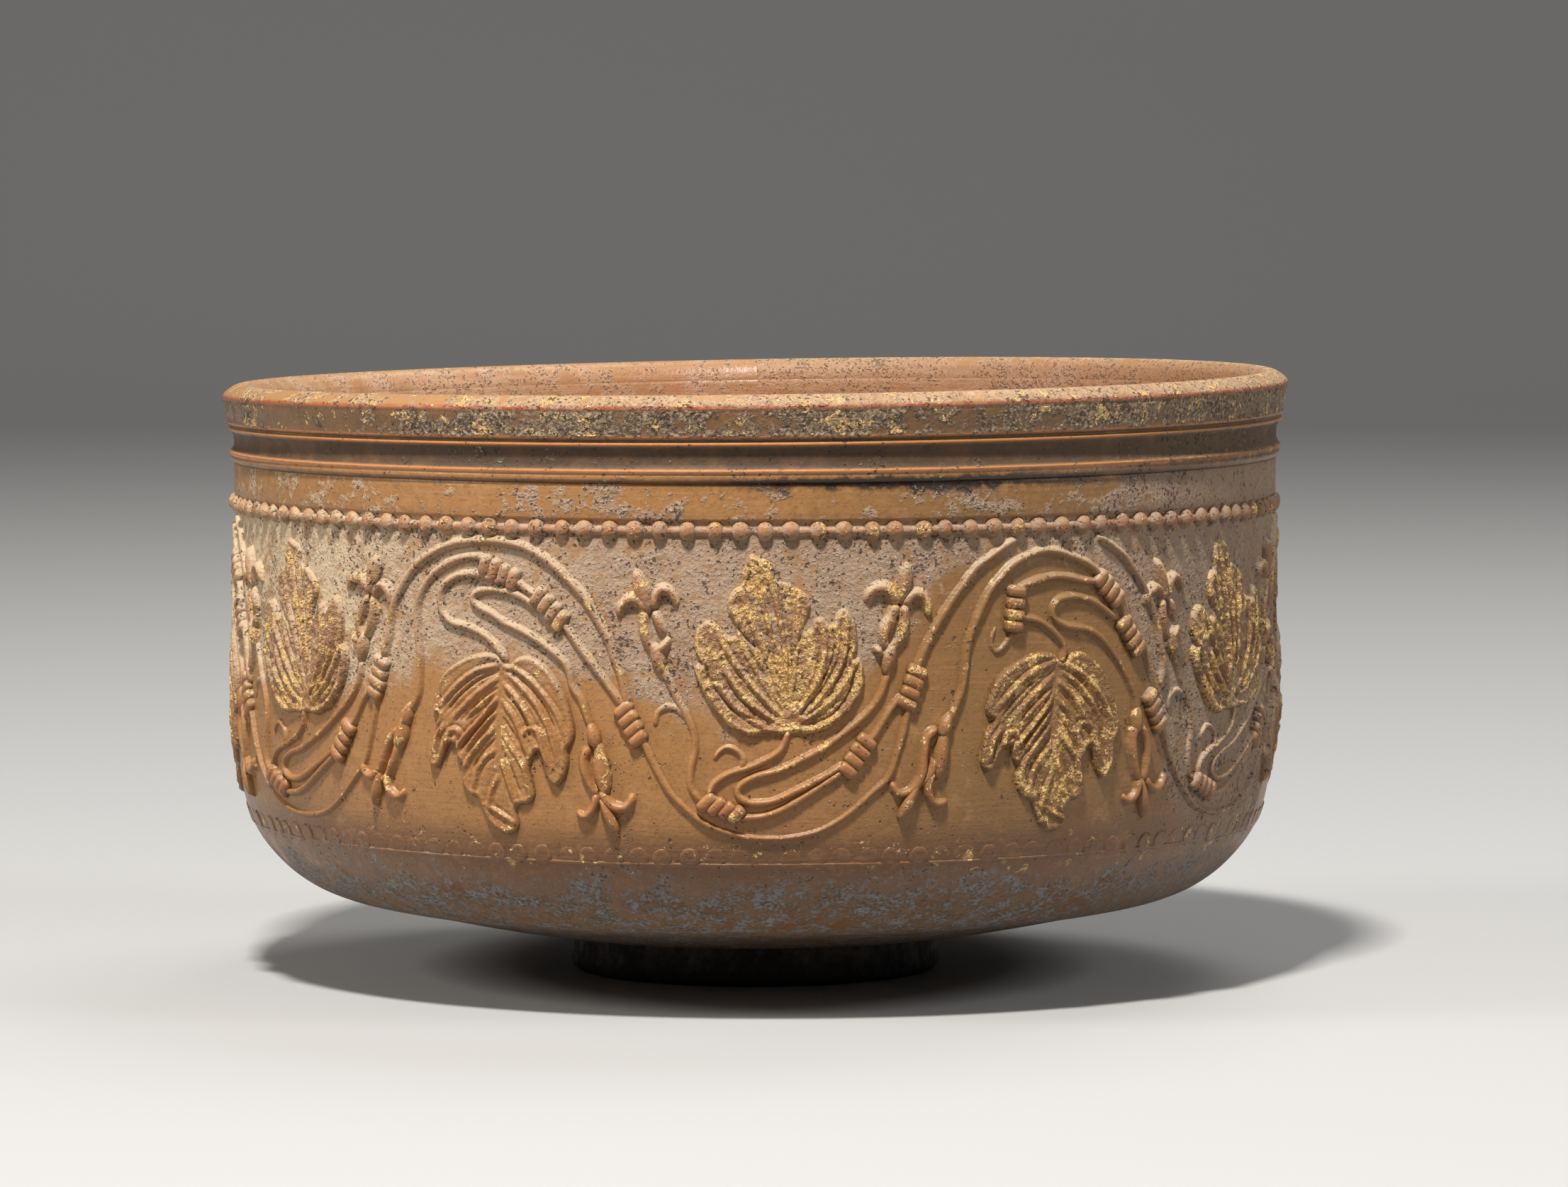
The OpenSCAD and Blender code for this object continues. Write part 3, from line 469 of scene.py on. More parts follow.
def add_values(obj, **values):
    """Stores numbers for each point of a mesh, and how far it faces up, for its material to read."""
    count = len(obj.data.vertices)
    normals = np.empty(3 * count, np.float32)
    obj.data.vertex_normals.foreach_get("vector", normals)
    values["up"] = normals[2::3]
    for name, data in values.items():
        layer = obj.data.attributes.new(name, "FLOAT", "POINT")
        layer.data.foreach_set("value", np.broadcast_to(np.asarray(data, np.float32), count).copy())


def place_piece(obj, slot_name, *replaced):
    """Lets a finished piece ride on the bowl in place of the solids that it stands for."""
    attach(obj, "root")
    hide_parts(*replaced)


def rest_object_mode():
    """Leaves edit mode and selects nothing."""
    if bpy.context.object and bpy.context.object.mode != "OBJECT":
        bpy.ops.object.mode_set(mode="OBJECT")
    bpy.ops.object.select_all(action="DESELECT")


class Relief:
    """Gathers shapes drawn on the flat strip and lays them on the wall as one piece."""

    def __init__(self):
        self.points, self.faces, self.edge, self.dirt, self.gold, self.count = [], [], [], [], [], 0

    def add(self, shape, unit=0.0, gold=0.0):
        """Adds a shape of [s, z, h] points, faces, rubbed edges and dirt with painted shade, in the scroll's
        unit given.
        """
        points, faces, edge, dirt = shape
        moved = np.array(points, float)
        moved[:, 0] += unit * UNIT_W
        self.points.append(moved)
        self.faces += [[int(i) + self.count for i in face] for face in faces]
        self.edge.append(np.asarray(edge, float))
        self.dirt.append(np.asarray(dirt, float))
        self.gold.append(np.full(len(moved), gold))
        self.count += len(moved)

    def build(self, name, slot_name, replaced):
        """Makes one mesh of all that was added, in place of the replaced solids."""
        points = np.vstack(self.points)
        mesh = bpy.data.meshes.new(name)
        mesh.from_pydata(on_wall(*points.T).tolist(), [], self.faces)
        mesh.update()
        obj = bpy.data.objects.new(name, mesh)
        bpy.context.scene.collection.objects.link(obj)
        mesh.materials.append(finish(slot_name))
        rest_object_mode()
        obj.select_set(True)
        bpy.context.view_layer.objects.active = obj
        bpy.ops.object.shade_smooth()
        add_values(
            obj, relief=points[:, 2], level=points[:, 1], edge=np.concatenate(self.edge),
            dirt=np.concatenate(self.dirt), gold=np.concatenate(self.gold), inside=0)
        place_piece(obj, slot_name, replaced)


# Half of a stem's section as [share of half width, share of height]: a soft foot and a round back
HALF_SECTION = [(1.55, -0.06), (1.3, 0.02), (1.08, 0.1), (0.9, 0.32), (0.68, 0.7), (0.36, 0.94)]
STEM_SECTION = np.array([(-u, v) for u, v in HALF_SECTION] + [(0, 1)] + HALF_SECTION[::-1])
# The length over which a stem's end rounds off, in mm
STEM_END = 0.7
# How deep a shape's foot lies under the wall's surface, and its border at the surface, in mm
BURIED, SUNK = 0.35, 0.06


def stem_shape(points, width, height, shares=(1.0, 1.0), spacing=0.6, seed=0):
    """A round-backed cord along the points, as thick from place to place as the shares say."""
    line, at = even_line(points, spacing)
    run = np.gradient(line, axis=0)
    across = across_of(run)
    total = at[-1]
    share = np.interp(at / total, np.linspace(0, 1, len(shares)), shares)
    cap = np.minimum(1, np.sqrt(np.clip(np.minimum(at, total - at) / STEM_END + 0.05, 0, 1)))
    wobble = 1 + 0.05 * np.sin(at * 0.9 + seed) + 0.03 * np.sin(at * 2.3 + 2 * seed)
    u, v = STEM_SECTION.T
    half = (width / 2 * share * wobble * (0.45 + 0.55 * cap))[:, None]
    s = line[:, :1] + across[:, :1] * half * u
    z = line[:, 1:] + across[:, 1:] * half * u
    h = (height * share * (0.5 + 0.5 * wobble) * cap)[:, None] * np.maximum(v, -0.05)
    h = np.where(v < 0, -SUNK, h)
    s, z = np.hstack([s, s[:, [-1, 0]]]), np.hstack([z, z[:, [-1, 0]]])
    h = np.hstack([h, np.full((len(line), 2), -BURIED)])
    edge = np.hstack([np.tile(v, (len(line), 1)), np.zeros((len(line), 2))])
    m, n = s.shape[1], len(line)
    faces = []
    for i in range(n - 1):
        for j in range(m):
            k = (j + 1) % m
            faces.append((i * m + j, (i + 1) * m + j, (i + 1) * m + k, i * m + k))
    faces.append(tuple(range(m)))
    faces.append(tuple((n - 1) * m + j for j in range(m - 1, -1, -1)))
    points = np.stack([s.ravel(), z.ravel(), h.ravel()], axis=1)
    edge = edge.ravel()
    # The last values are dirt and painted shade along the cord's foot
    return points, faces, edge, np.clip(0.45 - 2 * edge, 0, 1)


def domed_shape(t, half, tall, back, u, start, run):
    """A closed dome over a grid: half widths and heights along t, and the section back over u."""
    across = np.array([-run[1], run[0]]) / np.hypot(*run)
    s = start[0] + run[0] * t[:, None] + across[0] * half[:, None] * u
    z = start[1] + run[1] * t[:, None] + across[1] * half[:, None] * u
    h = tall[:, None] * back
    h[:, 0] = h[:, -1] = h[0, :] = h[-1, :] = -SUNK
    m, n = len(u), len(t)
    points = np.stack([s.ravel(), z.ravel(), h.ravel()], axis=1)
    low = points.copy()
    low[:, 2] = -BURIED
    faces = [(i * m + j, (i + 1) * m + j, (i + 1) * m + j + 1, i * m + j + 1)
             for i in range(n - 1) for j in range(m - 1)]
    ring = (list(range(m)) + [i * m + m - 1 for i in range(1, n)]
            + [(n - 1) * m + j for j in range(m - 2, -1, -1)] + [i * m for i in range(n - 2, 0, -1)])
    skirt, count = len(points), len(ring)
    points = np.vstack([points, low[ring]])
    faces += [(ring[i], ring[(i + 1) % count], skirt + (i + 1) % count, skirt + i) for i in range(count)]
    faces.append(tuple(skirt + i for i in range(count)))
    share = np.concatenate([(np.maximum(h, 0) / tall.max()).ravel(), np.zeros(count)])
    return points, faces, share


def petal_shape(start, end, width, height):
    """A pointed petal from start to end, fullest just past its middle, with a faint ridge along it."""
    a, b = np.array(start, float), np.array(end, float)
    t = np.linspace(0, 1, 13)
    fullest, ridge = 0.55, 0.12
    bulge = np.sin(np.pi * t ** (math.log(0.5) / math.log(fullest))) ** 0.6
    u = np.linspace(-1, 1, 9)
    back = np.sqrt(np.clip(1 - u ** 2, 0, 1)) + ridge * np.exp(-(u / 0.25) ** 2)
    points, faces, share = domed_shape(
        t, width / 2 * (0.12 + 0.88 * bulge), height * (0.35 + 0.65 * bulge), back, u, a, b - a)
    # The last values are dirt and painted shade round the petal's foot
    return points, faces, share, np.clip(0.5 - 1.6 * share, 0, 1)


def lump_shape(middle, along, width, thickness, height):
    """One turn of a tie: a short fat roll across the stems, with blunt ends."""
    across = np.array([-along[1], along[0]]) * width
    t = np.linspace(0, 1, 13)
    blunt = np.clip(1 - np.abs(2 * t - 1) ** 3.4, 0, 1) ** 0.5
    u = np.linspace(-1, 1, 11)
    back = np.clip(1 - np.abs(u) ** 2.4, 0, 1) ** 0.55
    points, faces, share = domed_shape(
        t, thickness / 2 * (0.4 + 0.6 * blunt), height * (0.25 + 0.75 * blunt), back, u,
        middle - across / 2, across)
    # The last values are dirt and painted shade low on the lump, between the turns of a tie
    return points, faces, share, np.clip(1.5 - 2.6 * share, 0, 1)


def nearest_on_step(points, a, b):
    """How far along the step from a to b, 0 to 1, the place nearest to each point lies, and its distance."""
    run = b - a
    t = np.clip(((points - a) @ run) / max(run @ run, 1e-12), 0, 1)
    return t, np.hypot(*(points - a - t[:, None] * run).T)


def segment_distance(points, line):
    """Distance from each point to a polyline, and how far along it the nearest place lies, 0 to 1."""
    best = np.full(len(points), np.inf)
    along = np.zeros(len(points))
    lengths = np.hypot(*np.diff(line, axis=0).T)
    done, total = 0.0, lengths.sum()
    for a, b, length in zip(line[:-1], line[1:], lengths):
        t, d = nearest_on_step(points, a, b)
        closer = d < best
        best[closer] = d[closer]
        along[closer] = (done + t[closer] * length) / total
        done += length
    return best, along


def nearest_on_loop(points, loop):
    """The place on a closed outline nearest to each point, and the distance to it."""
    best = np.full(len(points), np.inf)
    place = points.copy()
    for a, b in zip(loop, np.roll(loop, -1, axis=0)):
        t, d = nearest_on_step(points, a, b)
        closer = d < best
        best[closer] = d[closer]
        place[closer] = a + t[closer, None] * (b - a)
    return place, best


def inside_loop(points, loop):
    """Whether each point lies inside a closed outline."""
    hit = np.zeros(len(points), bool)
    x, y = points.T
    for (x1, y1), (x2, y2) in zip(loop, np.roll(loop, -1, axis=0)):
        if y1 != y2:
            hit ^= ((y1 > y) != (y2 > y)) & (x < (x2 - x1) * (y - y1) / (y2 - y1) + x1)
    return hit


def leaf_relief(drawing, height, crumbly, seed, points, inside, depth):
    """Heights at the points in and round a leaf, with how rubbed each of them is and its dirt and painted
    shade.
    """
    d, along = segment_distance(points, smooth_line(drawing["midrib"], DRAWN_STEPS))
    dished = height * (0.36 + 0.55 * np.clip(d / 7, 0, 1))
    shoulder = np.clip(depth / BORDER, 0, 1)
    body = dished * np.power(np.clip(1 - (1 - shoulder) ** 2.4, 0, 1), 0.62)
    rolled = np.clip((53 - points[:, 1]) / 6, 0.35, 1) * np.clip(depth / 0.4, 0, 1)
    body += drawing["rolled"] * rolled * np.exp(-((depth - ROLLED_AT) / ROLLED_HALF) ** 2)
    rng = random.Random(seed)
    ridges = np.zeros(len(points))
    beside = np.zeros(len(points))
    for line in drawing["ridges"]:
        d, along = segment_distance(points, smooth_line(line, DRAWN_STEPS))
        strength = RIDGE_TALL * (0.8 + 0.4 * rng.random())
        half = RIDGE_HALF + 0.07 * rng.random()
        fade = np.clip(along * 6 + 0.35, 0, 1) * np.clip((1 - along) * 5 + 0.25, 0, 1)
        ridges = np.maximum(ridges, strength * fade * np.exp(-(d / half) ** 2))
        beside = np.maximum(beside, strength * fade * np.exp(-((d - BESIDE_AT) / BESIDE_HALF) ** 2))
    furrows = np.zeros(len(points))
    for line in drawing["furrows"]:
        d, along = segment_distance(points, smooth_line(line, DRAWN_STEPS))
        fade = np.clip(along * 5 + 0.4, 0, 1) * np.clip((1 - along) * 6 + 0.2, 0, 1)
        furrows = np.maximum(furrows, fade * np.exp(-(d / FURROW_HALF) ** 2))
    detail = ridges - 0.5 * furrows - 0.55 * np.maximum(beside - ridges, 0)
    crumbs = crumbly * np.array([
        noise.noise((s / CRUMB, z / CRUMB, seed))
        + 0.8 * noise.noise((s / FINE_CRUMB, z / FINE_CRUMB, seed + 9))
        for s, z in points])
    relief = body + np.clip(depth / 0.5, 0, 1) * (detail + crumbs)
    relief = np.where(inside, np.maximum(relief, 0.02), -SUNK)
    edge = np.where(inside, np.clip(0.42 + 1.5 * ridges + 0.9 * (relief - dished), 0, 1), 0)
    # Dirt and painted shade in the furrows, beside the ridges and along the leaf's edge
    dirt = np.where(inside, np.clip(furrows * 0.9 + beside + 1 - depth / 0.25, 0, 1), 0.6)
    return relief, edge, dirt


def closed_below(skin, quads):
    """Faces of a skin of quads with a skirt and an underside, and the points of the skirt's foot."""
    pairs = np.concatenate([quads[:, [i, (i + 1) % 4]] for i in range(4)]).tolist()
    flipped = {(b, a) for a, b in pairs}
    border = [pair for pair in pairs if tuple(pair) not in flipped]
    after = dict(border)
    foot = {a: len(skin) + number for number, a in enumerate(after)}
    skirt = np.array([(skin[a][0], skin[a][1], -BURIED) for a in after])
    faces = [tuple(quad) for quad in quads.tolist()]
    faces += [(b, a, foot[a], foot[b]) for a, b in border]
    left = set(after)
    while left:
        start = left.pop()
        chain, here = [start], after[start]
        while here != start and here in left:
            left.discard(here)
            chain.append(here)
            here = after[here]
        if len(chain) > 2:
            faces.append(tuple(foot[i] for i in chain[::-1]))
    return faces, skirt


def leaf_shape(drawing, height, crumbly, seed):
    """A leaf as a fine skin: round border, ridges and furrows that fan out from its base."""
    loop = smooth_loop(drawing["outline"], DRAWN_STEPS)
    step = LEAF_STEP
    low, high = loop.min(axis=0) - 2 * step, loop.max(axis=0) + 2 * step
    cols, rows = (int(size / step) + 1 for size in high - low)
    gs, gz = np.meshgrid(low[0] + step * np.arange(cols), low[1] + step * np.arange(rows))
    points = np.stack([gs.ravel(), gz.ravel()], axis=1)
    near, gap = nearest_on_loop(points, loop)
    inside = inside_loop(points, loop)
    depth = np.where(inside, gap, 0)
    relief, edge, dirt = leaf_relief(drawing, height, crumbly, seed, points, inside, depth)
    grid = np.arange(len(points)).reshape(rows, cols)
    quads = np.stack([grid[:-1, :-1], grid[:-1, 1:], grid[1:, 1:], grid[1:, :-1]], axis=-1).reshape(-1, 4)
    quads = quads[inside[quads].any(axis=1)]
    used = np.unique(quads)
    points[~inside] = near[~inside]
    skin = np.column_stack([points[used], relief[used]])
    faces, skirt = closed_below(skin, np.searchsorted(used, quads))
    nothing = np.zeros(len(skirt))
    edge, dirt = (np.concatenate([values[used], nothing]) for values in (edge, dirt))
    return np.vstack([skin, skirt]), faces, edge, dirt


def turned_shape(middle, outline, squash, slices=BEAD_SIDES):
    """A bead or a disc from an outline of [radius, height, dirt and painted shade], round its own middle."""
    points, faces, dirt = [(0.0, 0.0, outline[0][1])], [], [0.0]
    for radius, height, dirt_and_shade_share in outline[1:]:
        for i in range(slices):
            angle = math.tau * i / slices
            points.append((radius * squash * math.cos(angle), radius * math.sin(angle), height))
            dirt.append(dirt_and_shade_share * (0.55 + 0.45 * math.sin(angle)))
    for i in range(slices):
        j = (i + 1) % slices
        faces.append((0, 1 + i, 1 + j))
        for ring in range(len(outline) - 2):
            a = 1 + ring * slices
            faces.append((a + i, a + slices + i, a + slices + j, a + j))
    last = 1 + (len(outline) - 2) * slices
    faces.append(tuple(last + i for i in range(slices))[::-1])
    top = max(row[1] for row in outline)
    edge = [max(0.0, p[2]) / top for p in points]
    return np.array(points) + (middle[0], middle[1], 0), faces, np.array(edge), np.array(dirt)


def lathe(name, outline, segments, closed):
    """Turns an outline of [radius, height] round the axis by extruding a ring from step to step."""
    rest_object_mode()
    fill = "NOTHING" if closed else "TRIFAN"
    start = outline[0]
    bpy.ops.mesh.primitive_circle_add(
        vertices=segments, radius=start[0] * MM, fill_type=fill, location=(0, 0, start[1] * MM))
    obj = bpy.context.object
    obj.name = obj.data.name = name
    bpy.ops.object.transform_apply(location=True, rotation=False, scale=False)
    bpy.ops.object.mode_set(mode="EDIT")
    bpy.ops.mesh.select_mode(type="EDGE")
    bpy.ops.mesh.select_all(action="SELECT")
    if not closed:
        bpy.ops.mesh.region_to_loop()
    for (r1, z1), (r2, z2) in zip(outline[:-1], outline[1:]):
        bpy.ops.mesh.extrude_edges_move(
            TRANSFORM_OT_translate={"value": (0, 0, (z2 - z1) * MM), "orient_type": "GLOBAL"})
        bpy.ops.transform.resize(
            value=(r2 / r1, r2 / r1, 1), center_override=(0, 0, z2 * MM), orient_type="GLOBAL")
    if closed:
        bpy.ops.object.mode_set(mode="OBJECT")
        mesh = obj.data
        last_row = (len(outline) - 1) * segments
        picked = np.arange(len(mesh.vertices))
        mesh.vertices.foreach_set("select", (picked < segments) | (picked >= last_row))
        pairs = np.empty(2 * len(mesh.edges), int)
        mesh.edges.foreach_get("vertices", pairs)
        pairs = pairs.reshape(-1, 2)
        ends = (pairs < segments).all(axis=1) | (pairs >= last_row).all(axis=1)
        mesh.edges.foreach_set("select", ends)
        mesh.polygons.foreach_set("select", np.zeros(len(mesh.polygons), bool))
        bpy.ops.object.mode_set(mode="EDIT")
        bpy.ops.mesh.bridge_edge_loops()
    else:
        bpy.ops.mesh.edge_face_add()
        bpy.ops.mesh.poke()
    bpy.ops.mesh.select_all(action="SELECT")
    bpy.ops.mesh.normals_make_consistent(inside=False)
    bpy.ops.object.mode_set(mode="OBJECT")
    return obj


def settle(obj):
    """Makes a turned piece uneven as the wall is, warps it with the rim and gives its true outline."""
    mesh = obj.data
    flat = np.empty(3 * len(mesh.vertices))
    mesh.vertices.foreach_get("co", flat)
    co = flat.reshape(-1, 3) / MM
    r = np.hypot(co[:, 0], co[:, 1])
    turn = np.arctan2(co[:, 0], -co[:, 1])
    share = np.clip((r - EVEN_TO) / (UNEVEN_FROM - EVEN_TO), 0, 1)
    fresh = r + unevenness(turn, co[:, 2]) * share
    z = co[:, 2] + rim_lift(turn, co[:, 2])
    made = np.stack([fresh * np.sin(turn), -fresh * np.cos(turn), z], axis=1)
    mesh.vertices.foreach_set("co", (made * MM).ravel())
    mesh.update()
    return r, co[:, 2]


def dress_turned(obj, slot_name, *replaced, **values):
    """Gives a turned piece its finish and values, and puts it in place of its solids."""
    obj.data.materials.append(finish(slot_name))
    add_values(obj, dirt=0, gold=0, **values)
    bpy.ops.object.shade_smooth_by_angle(angle=SHARP_ANGLE)
    place_piece(obj, slot_name, *replaced)


# Shader helpers

class Signal:
    """A node socket that takes Python's arithmetic."""

    def __init__(self, tree, socket):
        self.tree = tree
        self.socket = socket

    def node(self, kind, settings=None, inputs=None, output=0):
        """Adds a node, sets it up, fills or links its sockets and gives one of its outputs."""
        made = self.tree.nodes.new(kind)
        for key, value in (settings or {}).items():
            if key == "stops":
                self.fill_ramp(made.color_ramp, value)
            else:
                setattr(made, key, value)
        for key, value in (inputs or {}).items():
            if isinstance(value, Signal):
                self.tree.links.new(value.socket, made.inputs[key])
            else:
                made.inputs[key].default_value = value
        return Signal(self.tree, made.outputs[output])

    @staticmethod
    def fill_ramp(ramp, stops):
        """Sets a ramp's stops, each [place, value]."""
        while len(ramp.elements) < len(stops):
            ramp.elements.new(1.0)
        for element, (place, value) in zip(ramp.elements, stops):
            element.position = place
            element.color = (value, value, value, 1)

    def math(self, operation, *values, clamp=False):
        """Adds a Math node with the operation and values given."""
        settings = {"operation": operation, "use_clamp": clamp}
        return self.node("ShaderNodeMath", settings, dict(enumerate(values)))

    def __add__(self, other):
        return self.math("ADD", self, other)

    def __sub__(self, other):
        return self.math("SUBTRACT", self, other)

    def __mul__(self, other):
        return self.math("MULTIPLY", self, other)

    def __truediv__(self, other):
        return self.math("DIVIDE", self, other)

    def __rsub__(self, other):
        return self.math("SUBTRACT", other, self)

    def __neg__(self):
        return self * -1

    __radd__ = __add__
    __rmul__ = __mul__

    def clamp(self):
        """This, held between 0 and 1."""
        return self.math("ADD", self, 0, clamp=True)

    def step(self, low, high):
        """0 below low, 1 above high, and smooth between them."""
        return self.node(
            "ShaderNodeMapRange", {"interpolation_type": "SMOOTHSTEP"},
            {"Value": self, "From Min": low, "From Max": high, "To Min": 0.0, "To Max": 1.0})

    def band(self, low, high, soft):
        """1 between low and high, with soft sides."""
        return self.step(low - soft, low + soft) * (1 - self.step(high - soft, high + soft))

    def ramp(self, stops):
        """The value at this place along the stops."""
        return self.node("ShaderNodeValToRGB", {"stops": stops}, {0: self})

    def mix(self, low, high):
        """The colour low where this is 0 and high where it is 1."""
        def filled(value):
            return value if isinstance(value, Signal) else (*value, 1)

        return self.node(
            "ShaderNodeMix", {"data_type": "RGBA", "clamp_factor": True},
            {0: self, 6: filled(low), 7: filled(high)}, 2)

    def noise(self, size, detail=3.0, rough=0.5):
        """Noise on this place in mm, with lumps of about the size given, centred on 0."""
        made = self.node(
            "ShaderNodeTexNoise", None,
            {"Vector": self, "Scale": 1 / size, "Detail": detail, "Roughness": rough})
        return made - 0.5


def arc(stops):
    """Ramp stops by place round the wall in mm, from -231.6 behind on the left to 231.6."""
    return [((s / (UNITS * UNIT_W)) + 0.5, value) for s, value in stops]


# Round the wall: the lower edge of the crust in tenths of a metre, how cream it is, how olive with painted
# shade its slip is, and how much soot and painted shade lie under the rim's step
CRUST_EDGE = arc([
    (-231, 0.45), (-200, 0.5), (-165, 0.4), (-130, 0.36), (-105, 0.42), (-88, 0.44), (-70, 0.42),
    (-58, 0.43), (-50, 0.45), (-40, 0.485), (-30, 0.48), (-20, 0.455), (-12, 0.41), (-4, 0.40),
    (6, 0.42), (14, 0.46), (20, 0.57), (28, 0.67), (46, 0.68), (57, 0.60), (63, 0.42), (70, 0.27),
    (80, 0.22), (95, 0.24), (115, 0.36), (140, 0.48), (170, 0.44), (200, 0.4), (231, 0.45),
])
CREAM_SIDE = arc([
    (-231, 0.3), (-180, 0.5), (-130, 0.7), (-95, 0.95), (-60, 0.9), (-50, 0.4), (-38, 0.15), (0, 0.05),
    (60, 0), (90, 0.1), (150, 0.3), (231, 0.3),
])
OLIVE_AND_SHADE_SIDE = arc([
    (-231, 0.5), (-150, 0.3), (-80, 0.25), (-50, 0), (5, 0.05), (18, 0.55), (30, 0.9), (60, 0.95),
    (100, 0.7), (231, 0.5),
])
SOOT_AND_SHADE_SIDE = arc([
    (-231, 0), (-20, 0), (-8, 0.25), (3, 0.7), (12, 1), (36, 1), (46, 0.5), (66, 0.2), (90, 0), (231, 0),
])


# How worn the high points of a slot are, and how much soot and painted shade darken its underside
AGEING = {
    "worn_relief": (0.7, 0),
    "gilded_relief": (0.55, 0),
    "leaf_slip": (0.35, 0),
    "stem_slip": (0.25, 0),
    "foot_clay": (0.2, 0.9),
}


def finish(slot_name):
    """A copy of the weathered pottery, worn as that slot's pieces are and darkened underneath with soot and
    painted shade.
    """
    own = (bpy.data.materials.get("weathered_pottery") or weathered_pottery()).copy()
    own.name = "weathered_" + slot_name
    wear, soot_and_shade = AGEING.get(slot_name, (0.4, 0))
    own.node_tree.nodes["Wear"].outputs[0].default_value = wear
    own.node_tree.nodes["Underside soot"].outputs[0].default_value = soot_and_shade
    return own


# Parts of the outside by height in mm: [from, to, softness], or [where it starts, where it is full]
ZONES = {
    "dark_and_shaded_slip": (14, 25.5, 2.4), "scroll": (10, 67.2, 0.6), "scroll_middle": (25, 67, 3),
    "plain_band": (66.8, 72.4, 0.5), "sooty_and_shaded": (71.4, 73.1, 0.5),
    "hollow": (73, 77.4, 0.3), "shaded_hollow_slip": (74.2, 77.1, 0.2), "shaded_hollow_crust": (72.4, 77.3, 0.2),
    "hollow_matt": (74, 77, 0.3), "groove_low": (72.3, 72.8, 0.2), "groove_high": (77.62, 78.02, 0.1),
    "ridge_low": (73.45, 74.1, 0.1), "ridge_middle": (77.2, 77.52, 0.07), "ridge_high": (78.15, 78.45, 0.07),
    "lip_line": (82, 82.45, 0.1), "lip_gold": (78.4, 84.5, 0.3), "disc_gold": (20, 25, 1),
    "above_pits": (12, 22), "above_ash": (15, 23), "above_dark": (17, 22), "above_bare": (17, 24),
    "above_flecks": (19, 25), "dusty": (25, 40), "above_dust": (64.5, 66.5), "ridges": (77.5, 78.5),
    "lip": (77.8, 78.4), "lip_slip": (77.9, 78.3), "lip_crust": (77.8, 78.6), "lip_grit": (78, 78.5),
    "above_lip_slip": (81.8, 82.4), "above_lip_crust": (81.8, 82.6), "crown": (82, 82.8),
    "crown_inside": (82, 83.2),
}
# Shades of the surface from 0 to 255, beside the colours that a user may change
SHADES = {
    # Slip, with painted shade and dirt in the rim's hollow and painted highlights on its ridges
    "wiped": (198, 146, 90), "brown_patch": (140, 98, 60), "brown_fleck": (142, 98, 58),
    "pale_fleck": (196, 150, 104), "dark_fleck": (124, 84, 50), "shaded_hollow_slip": (82, 60, 40),
    "ridge_highlight": (206, 136, 82), "crown_slip": (180, 136, 92),
    # Crust, with dirt and painted shade in the rim's hollow
    "crust_brown": (146, 114, 86), "crust_pale": (224, 204, 180), "crust_lilac": (160, 132, 120),
    "crust_ochre": (160, 122, 84), "crust_right": (140, 122, 104), "belly_dark": (78, 62, 50),
    "belly_blue": (172, 170, 176), "belly_bare": (150, 98, 60), "lip_crust": (122, 102, 82),
    "lip_dark": (80, 62, 48), "lip_pale": (204, 176, 140), "shaded_hollow_crust": (108, 90, 70),
    "crown_crust": (184, 146, 106),
    # Wear, dirt with painted shade, pits with painted shade, crumbs, gold and painted shade under the foot
    "ground_brown": (92, 58, 40), "ground_red": (158, 96, 66), "dirt": (84, 57, 38), "dust": (204, 178, 146),
    "lip_red": (172, 84, 52), "pit_shade_dark": (46, 34, 26), "pit_shade_brown": (96, 72, 54), "grit": (230, 208, 178),
    "thin_gold": (172, 112, 56), "underside": (34, 27, 22),
    # Inside
    "inner_red": (176, 112, 70), "inner_streak": (206, 158, 114), "inner_blush": (196, 104, 44),
    "inner_bloom": (208, 180, 156), "inner_grey": (140, 108, 84), "inner_right": (134, 96, 70),
    "inner_left": (226, 190, 154), "inner_pit_shade": (110, 84, 70),
}


def layers(colour, *coats):
    """A colour under coats of [mask, colour], each laid over the ones before it."""
    for mask, coat in coats:
        colour = mask.mix(colour, coat)
    return colour


